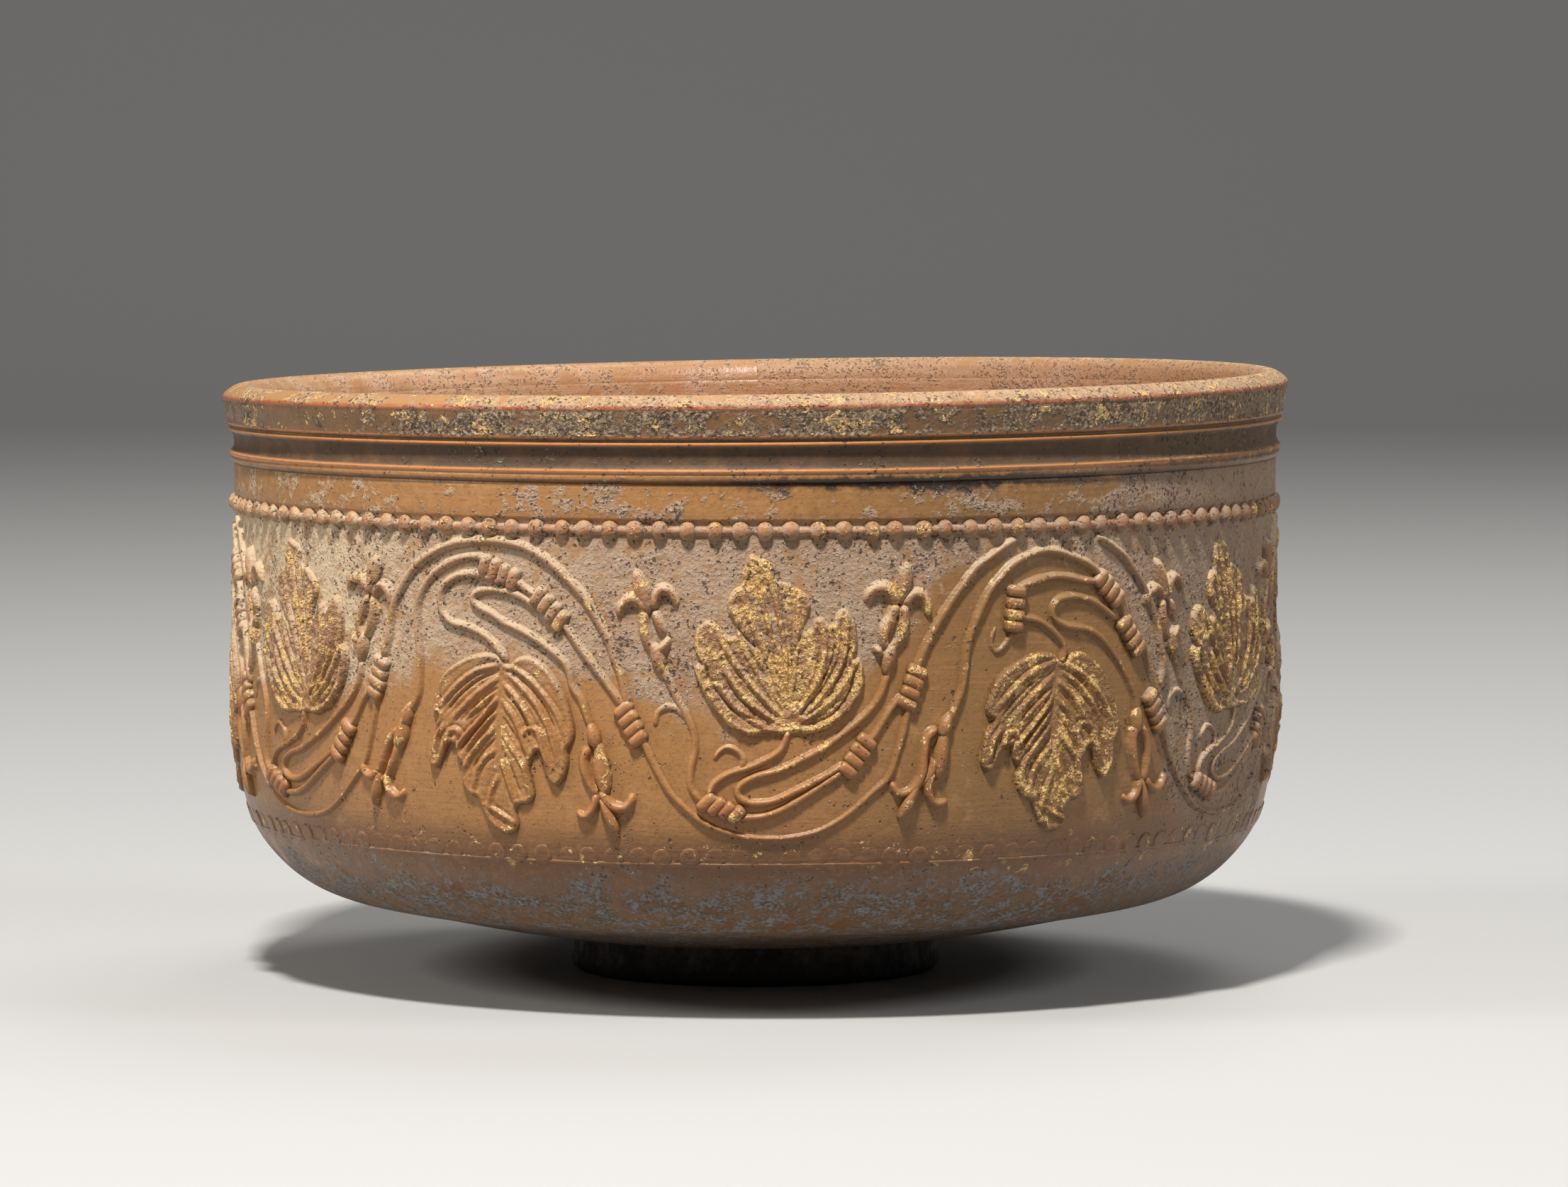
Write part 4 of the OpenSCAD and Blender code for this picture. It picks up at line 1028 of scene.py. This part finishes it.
def weathered_pottery():
    """Slip, crusts, soot, worn high points and gold leaf, with painted shade and painted highlights, placed
    by where they lie on the bowl.
    """
    look = colours()
    shade = {name: tone(*values) for name, values in SHADES.items()}
    material = bpy.data.materials.new("weathered_pottery")
    material.use_nodes = True
    tree = material.node_tree
    shader = tree.nodes["Principled BSDF"]
    start = Signal(tree, None)
    wear = start.node("ShaderNodeValue", {"name": "Wear"})
    sooty_and_shaded = start.node("ShaderNodeValue", {"name": "Underside soot"})
    place = start.node("ShaderNodeTexCoord", output="Object")
    place = place.node("ShaderNodeVectorMath", {"operation": "SCALE"}, {0: place, "Scale": 1 / MM})
    x = start.node("ShaderNodeSeparateXYZ", None, {0: place}, 0)
    y = start.node("ShaderNodeSeparateXYZ", None, {0: place}, 1)
    around = start.math("ARCTAN2", x, -y) * DRAWN_R
    share = around / (UNITS * UNIT_W) + 0.5

    def value(layer):
        """A number that the mesh stores for each of its points."""
        return start.node("ShaderNodeAttribute", {"attribute_name": layer}, None, "Fac")

    relief, edge, dirt, gilding = value("relief"), value("edge"), value("dirt"), value("gold")
    within, up, z = value("inside"), value("up"), value("level")

    def zone(name):
        """1 in the part of the outside with that name, and 0 elsewhere."""
        heights = ZONES[name]
        return z.band(*heights) if len(heights) == 3 else z.step(*heights)

    broad = place.noise(17, 2)
    patch = place.noise(5.5, 7, 0.62)
    small = place.noise(1.7, 5, 0.6)
    grain = place.noise(0.5, 3, 0.55)
    apart = place.node("ShaderNodeVectorMath", {"operation": "ADD"}, {0: place, 1: (31.0, 17.0, 53.0)})
    patch_2 = apart.noise(3.4, 6, 0.6)
    wiped = place.node("ShaderNodeVectorMath", {"operation": "MULTIPLY"}, {0: place, 1: (0.1, 0.1, 2.2)})
    streaks = wiped.noise(1.0, 3)
    hairs = place.noise(0.24, 2)
    specks = apart.noise(0.55, 1, 0.5)
    raised = relief.step(0.15, 0.5)
    proud = edge.step(0.6, 0.98) * raised

    # Slip: ochre in front, olive with painted shade to the right, darker in a band above the belly partly as
    # painted shade, dirt and painted shade in the rim's hollow and painted highlights on its ridges
    # Painted shade and dirt in the rim's hollow, and darker slip on the lip
    hollow_shade_and_dark_lip = zone("shaded_hollow_slip") * 1.2 + zone("lip_slip") * (1 - zone("above_lip_slip")) * 0.8
    # Painted highlights along the rim's ridges
    crest_highlights = zone("ridge_low") + zone("ridge_middle") + zone("ridge_high")
    slip = layers(
        # Olive slip on the right, darkened with painted shade
        (share.ramp(OLIVE_AND_SHADE_SIDE) + broad * 0.5 + patch * 0.3).clamp().mix(look.slip, look.olive_and_shaded),
        # Darker slip low on the wall, partly painted shade
        ((zone("dark_and_shaded_slip") * 0.8 + patch * 0.2).clamp(), look.deep_and_shaded),
        (streaks.step(0.02, 0.25) * 0.25, shade["wiped"]),
        (patch_2.step(0.04, 0.26) * 0.4, shade["brown_patch"]),
        ((small + grain * 0.6).step(0.0, 0.22) * 0.35, shade["brown_fleck"]),
        ((0 - small - patch).step(0.06, 0.24) * 0.3, shade["pale_fleck"]),
        ((grain + hairs * 0.7).step(0.05, 0.2) * 0.35, shade["dark_fleck"]),
        ((hollow_shade_and_dark_lip * (0.8 + patch)).clamp(), shade["shaded_hollow_slip"]),
        ((crest_highlights * (0.7 + patch)).clamp(), shade["ridge_highlight"]),
        (zone("crown") * 0.8, shade["crown_slip"]),
    )

    # Where crust lies
    cream = share.ramp(CREAM_SIDE)
    edge_lift = around.band(40, 90, 12) * 7 + around.band(14, 40, 6) * 4
    over = z - share.ramp(CRUST_EDGE) * 100 + edge_lift + patch * 15 + broad * 7 + small * 5
    upper = over.step(-1.5, 3) * zone("scroll")
    upper = upper * (1 - (patch_2 + small * 0.7 + patch * 0.5).step(0.0, 0.16) * 0.7)
    upper = upper * (0.7 + 0.3 * (small * 1.3 + grain * 0.4 + 0.05 + cream * 0.15).step(-0.1, 0.12))
    below = 20.5 - z + patch * 15 + small * 8 + broad * 6
    belly = below.step(-1.5, 5) * (0.45 + (small + patch_2).step(-0.12, 0.08) * 0.55)
    right = around.step(44, 72)
    left = 1 - around.step(-52, -30)
    plain = (patch + small * 0.9 + right * 0.3).step(0.0, 0.14) * zone("plain_band") * 0.8
    hollow = (patch * 0.8 + small + right * 0.25 - 0.1).step(-0.02, 0.2) * zone("hollow") * 0.75
    lip = (patch + small + 0.12 - left * 0.16).step(-0.05, 0.1) * zone("lip") * 0.95
    crust = upper
    for more in (belly, plain, hollow, lip):
        crust = crust.math("MAXIMUM", crust, more)
    rubbed = (proud * (0.62 + small * 2.6 - up * 0.35)).clamp()
    crust = (crust * (1 - rubbed * 0.75) * (1 - raised * gilding.step(0.2, 0.6) * 0.72)).clamp()

    # What the crust is like
    dark_grain = (grain * 1.3 + small * 0.7).step(0.0, 0.12) * lip
    pale_grain = (0 - grain * 1.3 - small * 0.6).step(0.03, 0.14) * lip
    low_dark = (1 - zone("above_dark")) * (0 - grain * 1.2 - small).step(0.04, 0.14)
    low_fleck = (1 - zone("above_flecks")) * (grain * 1.2 + small * 0.9 + patch * 0.5).step(0.03, 0.09)
    low_bare = (1 - zone("above_bare")) * (patch_2 + broad * 0.5).step(0.1, 0.16)
    tint = layers(
        (cream + small * 1.3 + patch_2 + grain * 0.4).clamp().mix(look.crust, look.cream),
        ((small * 0.9 + grain * 0.4).step(0.0, 0.17) * 0.5, shade["crust_brown"]),
        ((0 - grain - hairs * 0.4).step(0.02, 0.22) * 0.3, shade["crust_pale"]),
        (patch.step(0.02, 0.18) * 0.6, shade["crust_lilac"]),
        ((0 - patch_2 - small * 0.5).step(0.04, 0.2) * 0.45, shade["crust_ochre"]),
        (1 - zone("above_ash"), look.ash),
        (low_dark * 0.6, shade["belly_dark"]),
        (low_fleck * 0.9, shade["belly_blue"]),
        (low_bare * 0.85, shade["belly_bare"]),
        (zone("lip_crust") * 0.8 * (1 - zone("above_lip_crust")), shade["lip_crust"]),
        (right * 0.5 * (1 - zone("ridges")), shade["crust_right"]),
        # Dirt and painted shade on the crust in the rim's hollow
        (zone("shaded_hollow_crust") * 0.9, shade["shaded_hollow_crust"]),
        (dark_grain * 0.85, shade["lip_dark"]),
        (pale_grain * 0.8, shade["lip_pale"]),
        (zone("crown") * 0.6, shade["crown_crust"]),
    )

    # Worn high points, the ground of the gold, dirt with painted shade, dust, soot with painted shade, pits
    # with painted shade and crumbs
    under_gold = raised * gilding.step(0.25, 0.7)
    ground = (patch_2 * 3 + 0.5).clamp().mix(shade["ground_brown"], shade["ground_red"])
    settled = over.step(-6, 4) * zone("dusty") * (1 - zone("above_dust"))
    settled = settled * (up * 1.3 + small * 2 - 0.1).step(0.0, 0.5) * 0.75
    # Soot and painted shade in a band under the rim's step, on the right
    soot_and_shade = (z + small * 3 + patch * 3).band(*ZONES["sooty_and_shaded"]) * share.ramp(SOOT_AND_SHADE_SIDE) * (1.05 + patch * 2.5)
    # Painted shade in the rim's grooves
    line = zone("groove_low") * 0.65 + zone("groove_high") * 0.7
    thick = (crust + over.step(-2, 6) * 0.25 * zone("scroll_middle") + zone("lip_grit") * 0.4).clamp()
    rare = 0.135 + 0.1 * (1 - thick)
    gathered = patch * 0.5 + small * 0.3
    # Dark pits in the crust, with painted shade in them
    shaded_pits = (specks + gathered - rare).step(-0.02, 0.08) * zone("above_pits")
    grit = (gathered - specks - rare - 0.02).step(-0.02, 0.1)
    colour = layers(
        crust.mix(slip, tint),
        (rubbed * wear, look.worn),
        (under_gold * 0.6 * (grain * 2.5 + small + 0.4).clamp(), ground),
        # Dirt and painted shade at the foot of the relief and in its furrows
        ((dirt * (0.75 + small)).clamp(), shade["dirt"]),
        (settled, shade["dust"]),
        ((soot_and_shade + line * (0.8 + patch * 1.6)).clamp(), look.soot_and_shade),
        ((zone("lip_line") * (0.6 + small * 3)).clamp(), shade["lip_red"]),
        (shaded_pits * 0.8, (grain * 3 + 0.5).clamp().mix(shade["pit_shade_dark"], shade["pit_shade_brown"])),
        (grit * 0.4, shade["grit"]),
    )

    # Gold leaf, in crumbs where little is left and nearly whole where much is
    left_gold = gilding + (zone("lip_gold") * 0.45 + zone("disc_gold") * 0.15) * (1 - raised)
    flake = patch_2 * 1.4 + patch * 0.8 + small * 1.5 + grain * 0.8 + hairs * 0.35
    flake = flake + (edge - 0.5) * raised * 0.2
    gold = (flake + left_gold * 0.38 - 0.33).step(0.0, 0.14) * left_gold.step(0.02, 0.1)
    gold = gold * (1 - shaded_pits) * (1 - within) * (1 - dirt * 0.8)
    full = (grain * 2 + hairs * 2 + small + 0.5).clamp()
    colour = gold.mix(colour, full.mix(shade["thin_gold"], look.gold))
    # Soot and painted shade under the foot, darker towards the bottom
    colour = (sooty_and_shaded * (1.2 + patch - z / 40)).clamp().mix(colour, shade["underside"])

    # Inside
    blush = (around - 30 + patch * 60).band(-8, 26, 8) * (patch_2 + 0.1).step(0, 0.2)
    bloom = (patch + broad * 0.8 + small * 0.3).step(-0.06, 0.3)
    inner = layers(
        (patch_2 * 1.5 + broad * 2 + 0.3).clamp().mix(look.inner, shade["inner_red"]),
        (streaks.step(-0.05, 0.2) * 0.35, shade["inner_streak"]),
        (blush * 0.7, shade["inner_blush"]),
        (bloom * 0.45, shade["inner_bloom"]),
        ((broad + patch * 0.5 - z / 300).step(0.02, 0.2) * 0.4, shade["inner_grey"]),
        (x.step(-55, 62) * 0.62, shade["inner_right"]),
        ((1 - x.step(-75, -10)) * (patch + 0.2).step(0.0, 0.3) * 0.5, shade["inner_left"]),
        # Painted shade in the pits inside
        (shaded_pits * 0.4, shade["inner_pit_shade"]),
    )
    colour = (within * (1 - zone("crown_inside") * 0.5)).mix(colour, inner)

    crust = crust * (1 - within * 0.6)
    rough = 0.37 + zone("hollow_matt") * 0.3 + crust * 0.4 + grain * 0.25 + streaks * 0.15 + raised * 0.04
    rough = rough * (1 - gold) + gold * (0.5 + grain * 0.6)
    height = crust * (0.07 + small * 0.3 + grain * 0.13) + grit * 0.2 - shaded_pits * 0.22
    height = height + streaks * 0.05 * (1 - crust) + grain * 0.07 + patch * 0.1 + small * 0.05
    height = height + (gold + under_gold) * (0.03 + grain * 0.35 + hairs * 0.1)
    bump = start.node("ShaderNodeBump", None, {"Strength": 1.0, "Distance": MM, "Height": height})
    tree.links.new(colour.socket, shader.inputs["Base Color"])
    tree.links.new(rough.clamp().socket, shader.inputs["Roughness"])
    tree.links.new((gold * 0.12).socket, shader.inputs["Metallic"])
    tree.links.new(bump.socket, shader.inputs["Normal"])
    return material


def floor_material():
    """Pale grey where it is seen, and darker for the light that it throws back up at the bowl."""
    material = bpy.data.materials.new("pale_floor")
    material.use_nodes = True
    tree = material.node_tree
    shader = tree.nodes["Principled BSDF"]
    start = Signal(tree, None)
    seen = start.node("ShaderNodeLightPath", output="Is Camera Ray")
    seen = seen + start.node("ShaderNodeLightPath", output="Is Glossy Ray")
    seen = (seen + start.node("ShaderNodeLightPath", output="Is Transmission Ray")).clamp()
    colour = seen.mix(tone(118, 117, 116), tone(190, 189, 187))
    tree.links.new(colour.socket, shader.inputs["Base Color"])
    shader.inputs["Roughness"].default_value = 0.7
    return material


# How much gold leaf is left on a motif, by the unit of the scroll
GOLD_LEFT = {
    "leaf_up": (1.0, 0.9, 0.6, 0.75, 0.5, 0.8),
    "leaf_down": (0.36, 0.8, 0.5, 0.7, 0.4, 0.55),
    "bud": (0.42, 0.45, 0.35, 0.4, 0.3, 0.4),
}


class BOWL_OT_wall(bpy.types.Operator):
    """Turns the moulded wall with its floor and its inner face."""

    bl_idname = "bowl.wall"
    bl_label = "Wall"

    def execute(self, context):
        inner = (OUTER + WALL_THICKNESS * across_of(np.gradient(OUTER, axis=0)))[::-1]
        inner = inner[(inner[:, 0] > 1) & (inner[:, 1] < INNER_TOP)][::2]
        outline = [*OUTER, *PLAIN_BAND, *TONGUE, *inner]
        obj = lathe("wall_body", outline, WALL_SIDES, closed=False)
        r, z = settle(obj)
        beyond = np.interp(r, OUTER[:, 0], OUTER[:, 1])
        within = np.where(r > FLOOR_REACH, r < wall_radius(z) - INNER_DEPTH, z > beyond + INNER_DEPTH)
        dress_turned(
            obj, "wall_slip", "moulded_wall", "bowl_floor", relief=0, edge=0.4, level=z, inside=within)
        return {"FINISHED"}


class BOWL_OT_rim(bpy.types.Operator):
    """Turns the thrown rim with its ridges, hollow band and warped lip."""

    bl_idname = "bowl.rim"
    bl_label = "Rim"

    def execute(self, context):
        outline = [*RIM[:CROWN.start], *smooth_line(RIM[CROWN], 3), *RIM[CROWN.stop:]]
        obj = lathe("rim_band", outline, WALL_SIDES, closed=True)
        r, z = settle(obj)
        within = np.clip((RIM_INSIDE - r) / 1.2, 0, 1) * (z < CROWN_TOP)
        # The ridges get rubbed wear and a painted highlight through their edge values
        ridges = np.zeros(len(z), bool)
        for middle, reach in RUBBED_HIGHLIT_RIDGES:
            ridges |= (np.abs(z - middle) < reach) & (r > RIM_OUTSIDE)
        dress_turned(
            obj, "rim_slip", "thrown_rim", relief=np.where(ridges, 0.9, 0),
            edge=np.where(ridges, 0.92, 0.4), level=z, inside=within)
        return {"FINISHED"}


class BOWL_OT_foot(bpy.types.Operator):
    """Turns the foot ring."""

    bl_idname = "bowl.foot"
    bl_label = "Foot ring"

    def execute(self, context):
        obj = lathe("foot_base", FOOT, FOOT_SIDES, closed=True)
        level = np.empty(3 * len(obj.data.vertices))
        obj.data.vertices.foreach_get("co", level)
        dress_turned(
            obj, "foot_clay", "foot_ring", relief=0, edge=0.4, level=level[2::3] / MM, inside=0)
        return {"FINISHED"}


class BOWL_OT_beads(bpy.types.Operator):
    """Strings the upper beads on their cord and presses the lower ones."""

    bl_idname = "bowl.beads"
    bl_label = "Bead rows"

    def execute(self, context):
        count = sizes().bead_count
        radius = sizes().bead_size / MM / 2
        rng = random.Random(4)
        upper, lower, cord = Relief(), Relief(), Relief()
        pitch = math.tau * DRAWN_R / count
        for i in range(count):
            s = (i + 0.5) * pitch + rng.uniform(-0.3, 0.3)
            squash = rng.uniform(0.86, 1.06)
            tall = BEAD_TALL * rng.uniform(0.88, 1.06)
            outline = [
                (r * radius, h * tall, 0) for r, h in ((0, 1), (0.4, 0.95), (0.72, 0.74), (0.92, 0.42))]
            # Dirt and painted shade round the bead's foot
            outline += [
                (1.02 * radius, 0.1 * tall, 0.9), (1.12 * radius, -0.08, 0.7), (1.1 * radius, -BURIED, 0)]
            middle = (s, BEAD_Z + rng.uniform(-0.08, 0.08))
            upper.add(turned_shape(middle, outline, squash), gold=rng.choice((0, 0, 0.15, 0.4)))
            worn = rng.uniform(0.2, 1.0)
            # Dirt and painted shade in a ring round the disc
            disc = [
                (0, DISC_TALL * worn, 0), (0.75, 0.19 * worn, 0), (1.12, 0.22 * worn, 0),
                (1.3, 0.15 * worn, 0.3 * worn), (1.4, 0.02, 0.8 * worn), (1.46, -0.05, 0.5),
                (1.44, -BURIED, 0)]
            middle = (s + rng.uniform(-0.15, 0.15), DISC_Z + rng.uniform(-0.1, 0.1))
            lower.add(turned_shape(middle, disc, rng.uniform(0.94, 1.06), DISC_SIDES), gold=0.04)
        turns = np.linspace(-math.pi * DRAWN_R, math.pi * DRAWN_R, 100 * UNITS + 1)
        for line_z, width, height, owner in ((CORD_Z, 1.1, 0.5, cord), (LOWER_LINE_Z, 0.5, 0.16, lower)):
            for part in range(UNITS):
                some = turns[part * 100: part * 100 + 101: 4]
                drawn = np.stack([some, np.full(len(some), line_z)], axis=1)
                owner.add(stem_shape(drawn, width, height, spacing=0.8, seed=part))
        upper.build("beads_upper", "worn_relief", "upper_bead_row")
        cord.build("cord_line", "worn_relief", "bead_cord")
        lower.build("beads_lower", "worn_relief", "lower_bead_row")
        return {"FINISHED"}


def add_stems(relief, unit, lines, width, height, shares=(1.0, 1.0), gold=0.08):
    """Adds a cord along each of the lines, in one unit of the scroll."""
    for number, line in enumerate(lines):
        relief.add(stem_shape(line, width, height, shares, seed=number + 3 * unit), unit, gold)


class BOWL_OT_stems(bpy.types.Operator):
    """Lays the vine's main stem, side stems, leaf stalks and tendrils on the wall."""

    bl_idname = "bowl.stems"
    bl_label = "Stems"

    def execute(self, context):
        wide, tall = sizes().stem_width / MM, sizes().stem_height / MM
        thin, low = sizes().branch_width / MM, sizes().branch_height / MM
        main, side, stalks, curls = Relief(), Relief(), Relief(), Relief()
        for unit in range(UNITS):
            add_stems(main, unit, [TROUGH_WAVE], wide, tall, (0.9, 0.75, 0.6, 0.6, 0.75, 0.95))
            add_stems(side, unit, TROUGH_BRANCHES[:3], thin, low)
            add_stems(side, unit, TROUGH_BRANCHES[3:], thin * 0.95, low * 0.85)
            add_stems(stalks, unit, [TROUGH_STALK], thin * 0.9, low)
            add_stems(curls, unit, TROUGH_TENDRILS[:1], thin * 0.72, low * 0.75, (1.1, 1, 0.7))
            add_stems(curls, unit, TROUGH_TENDRILS[1:], thin * 0.85, low * 0.5, (1, 1.1, 0.8))
        for unit in range(0, UNITS, 2):
            add_stems(main, unit, [CREST_A], wide, tall)
            add_stems(main, unit, [CREST_B, FALLING_START], wide * 0.95, tall)
            add_stems(main, unit, [RISING_END], wide, tall, (1, 0.85))
            add_stems(side, unit, CREST_A_BRANCHES + CREST_B_BRANCHES, thin * 1.05, low)
            add_stems(stalks, unit, [CREST_A_STALK, CREST_B_STALK], thin * 1.05, low)
            add_stems(curls, unit, [CREST_B_TENDRIL], thin * 0.8, low * 0.6, (1, 0.7), 0.5)
        main.build("stem_main", "stem_slip", "vine_stem")
        side.build("stems_side", "stem_slip", "branch_stems")
        stalks.build("stalks_leaf", "stem_slip", "leaf_stalks")
        curls.build("curls_fine", "stem_slip", "tendrils")
        return {"FINISHED"}


class BOWL_OT_ties(bpy.types.Operator):
    """Winds the ties round the stems."""

    bl_idname = "bowl.ties"
    bl_label = "Ties"

    def execute(self, context):
        relief = Relief()
        tall = sizes().tie_height / MM
        rng = random.Random(9)
        placed = [(unit, tie) for unit in range(UNITS) for tie in TROUGH_TIES]
        placed += [(unit, tie) for unit in range(0, UNITS, 2) for tie in CREST_A_TIES + CREST_B_TIES]
        for unit, (first, last, slant) in placed:
            a, b = np.array(first), np.array(last)
            run = b - a
            heading = math.atan2(run[1], run[0]) + math.radians(slant)
            along = np.array([math.cos(heading), math.sin(heading)])
            for i in range(TIE_LUMPS):
                lump = lump_shape(
                    a + run * i / (TIE_LUMPS - 1), along, TIE_REACH * rng.uniform(0.9, 1.04),
                    TIE_THICKNESS * rng.uniform(0.96, 1.04), tall * rng.uniform(0.92, 1.05))
                relief.add(lump, unit, rng.choice((0, 0.1, 0.4)))
        relief.build("ties_wound", "worn_relief", "stem_ties")
        return {"FINISHED"}


# How many units of the scroll lie between one hanging leaf and the next
NEXT_LEAF = 1.008


class BOWL_OT_leaves(bpy.types.Operator):
    """Shapes the upright and the hanging vine leaves."""

    bl_idname = "bowl.leaves"
    bl_label = "Leaves"

    def execute(self, context):
        height = sizes().leaf_height / MM
        upright, hanging = Relief(), Relief()
        shape = leaf_shape(UPRIGHT_LEAF, height, 0.2, 3)
        for unit in range(UNITS):
            upright.add(shape, unit, GOLD_LEFT["leaf_up"][unit])
        shape = leaf_shape(HANGING_LEAF, height, 0.07, 8)
        for unit in range(0, UNITS, 2):
            hanging.add(shape, unit, GOLD_LEFT["leaf_down"][unit])
            hanging.add(shape, unit + NEXT_LEAF, GOLD_LEFT["leaf_down"][unit + 1])
        upright.build("leaves_upright", "gilded_relief", "upright_leaves")
        hanging.build("leaves_hanging", "leaf_slip", "hanging_leaves")
        return {"FINISHED"}


def add_bud(relief, unit, bud, tall, gilded=1.0):
    """Adds a bud's petals and curls, in one unit of the scroll."""
    gold = GOLD_LEFT["bud"][unit] * gilded
    for start, end, width in bud["petals"]:
        relief.add(petal_shape(start, end, width, tall), unit, gold)
    for curl, width in bud["curls"]:
        relief.add(stem_shape(curl, width, tall * 0.85, (0.9, 1.05, 0.75), 0.4, seed=unit), unit, gold)


class BOWL_OT_buds(bpy.types.Operator):
    """Shapes the buds between the leaves."""

    bl_idname = "bowl.buds"
    bl_label = "Buds"

    def execute(self, context):
        tall = sizes().petal_height / MM
        upright, hanging = Relief(), Relief()
        for unit in range(UNITS):
            add_bud(upright, unit, BUD_UP_LEFT, tall)
            add_bud(upright, unit, BUD_UP_RIGHT, tall)
        for unit in range(0, UNITS, 2):
            for bud in BUDS_DOWN_A + BUDS_DOWN_B:
                add_bud(hanging, unit, bud, tall, 0.45)
        upright.build("buds_upright", "gilded_relief", "upright_buds")
        hanging.build("buds_hanging", "worn_relief", "hanging_buds")
        return {"FINISHED"}


# The stage, in metres: lamps as [name, place, size, watts, colour], and the camera's tilt in degrees
FLOOR_SIZE, BACKDROP_HEIGHT, BACKDROP_BEND = 5, 2.6, 0.9
BOWL_MIDDLE = (0, 0, 0.045)
LAMPS = (
    ("key", (-0.14, -0.62, 1.15), 0.12, 20.5, (1, 0.98, 0.95)),
    ("left_side", (-1.15, -0.3, 0.7), 0.4, 6.5, (1, 0.98, 0.95)),
    ("right_side", (1.15, -0.3, 0.75), 0.4, 4.5, (0.96, 0.97, 1)),
    ("top", (0.3, 0.6, 1.0), 0.6, 4.0, (1, 1, 1)),
)
CAMERA_SPOT, CAMERA_DOWN, CAMERA_LENS = (0.00406, -1.1, 0.1292), 3.965, 179.2


class BOWL_OT_stage(bpy.types.Operator):
    """Sets the pale floor and backdrop, the soft lights and the camera."""

    bl_idname = "bowl.stage"
    bl_label = "Stage"

    def execute(self, context):
        rest_object_mode()
        bpy.ops.mesh.primitive_plane_add(size=FLOOR_SIZE, location=(0, 0, 0))
        floor = context.object
        floor.name = "stage_floor"
        bpy.ops.object.mode_set(mode="EDIT")
        bpy.ops.mesh.select_mode(type="EDGE")
        bpy.ops.mesh.select_all(action="DESELECT")
        bpy.ops.object.mode_set(mode="OBJECT")
        for edge in floor.data.edges:
            edge.select = all(floor.data.vertices[i].co.y > 0 for i in edge.vertices)
        bpy.ops.object.mode_set(mode="EDIT")
        bpy.ops.mesh.extrude_edges_move(
            TRANSFORM_OT_translate={"value": (0, 0, BACKDROP_HEIGHT), "orient_type": "GLOBAL"})
        bpy.ops.object.mode_set(mode="OBJECT")
        bend = floor.modifiers.new("bend", "BEVEL")
        bend.width, bend.segments, bend.limit_method = BACKDROP_BEND, 16, "ANGLE"
        bpy.ops.object.modifier_apply(modifier="bend")
        bpy.ops.object.shade_smooth()
        floor.data.materials.append(floor_material())

        world = context.scene.world = bpy.data.worlds.new("soft_studio")
        world.use_nodes = True
        sky = world.node_tree.nodes["Background"].inputs
        sky["Color"].default_value = (0.93, 0.93, 0.95, 1)
        sky["Strength"].default_value = 0.07
        for name, spot, size, power, colour in LAMPS:
            bpy.ops.object.light_add(type="AREA", location=spot)
            lamp = context.object
            lamp.name = name
            lamp.data.size, lamp.data.energy, lamp.data.color = size, power, colour
            aim = np.array(BOWL_MIDDLE) - np.array(spot)
            lamp.rotation_euler = (
                math.atan2(math.hypot(aim[0], aim[1]), -aim[2]), 0, math.atan2(aim[1], aim[0]) - math.pi / 2)

        bpy.ops.object.camera_add(location=CAMERA_SPOT, rotation=(math.radians(90 - CAMERA_DOWN), 0, 0))
        camera = context.object
        camera.data.lens, camera.data.sensor_width = CAMERA_LENS, 36
        camera.data.clip_start, camera.data.clip_end = 0.05, 50
        context.scene.camera = camera
        context.scene.view_settings.view_transform = "Standard"
        return {"FINISHED"}


PIECE_OPERATORS = (
    BOWL_OT_wall, BOWL_OT_rim, BOWL_OT_foot, BOWL_OT_beads, BOWL_OT_stems, BOWL_OT_ties, BOWL_OT_leaves,
    BOWL_OT_buds, BOWL_OT_stage,
)


class BOWL_PT_panel(bpy.types.Panel):
    """Lists the bowl's sizes, colours and pieces."""

    bl_idname = "BOWL_PT_panel"
    bl_label = "Vine-scroll bowl"
    bl_space_type = "VIEW_3D"
    bl_region_type = "UI"
    bl_category = "Bowl"

    def draw(self, context):
        for group in (context.scene.bowl_sizes, context.scene.bowl_colours):
            box = self.layout.box()
            for name in group.__annotations__:
                box.prop(group, name)
        for operator in PIECE_OPERATORS:
            self.layout.operator(operator.bl_idname)


CLASSES = (BowlSizes, BowlColours, *PIECE_OPERATORS, BOWL_PT_panel)


def register():
    for cls in CLASSES:
        bpy.utils.register_class(cls)
    bpy.types.Scene.bowl_sizes = bpy.props.PointerProperty(type=BowlSizes)
    bpy.types.Scene.bowl_colours = bpy.props.PointerProperty(type=BowlColours)


def unregister():
    del bpy.types.Scene.bowl_colours
    del bpy.types.Scene.bowl_sizes
    for cls in reversed(CLASSES):
        bpy.utils.unregister_class(cls)


def plain(box):
    """A box's corners as plain, rounded numbers."""
    return [[round(float(value), 6) for value in corner] for corner in box]


def main():
    register()
    bpy.ops.bowl.wall()
    bpy.ops.bowl.rim()
    bpy.ops.bowl.foot()
    bpy.ops.bowl.beads()
    bpy.ops.bowl.stems()
    bpy.ops.bowl.ties()
    bpy.ops.bowl.leaves()
    bpy.ops.bowl.buds()
    bpy.ops.bowl.stage()
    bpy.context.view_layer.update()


if __name__ == "__main__":
    main()
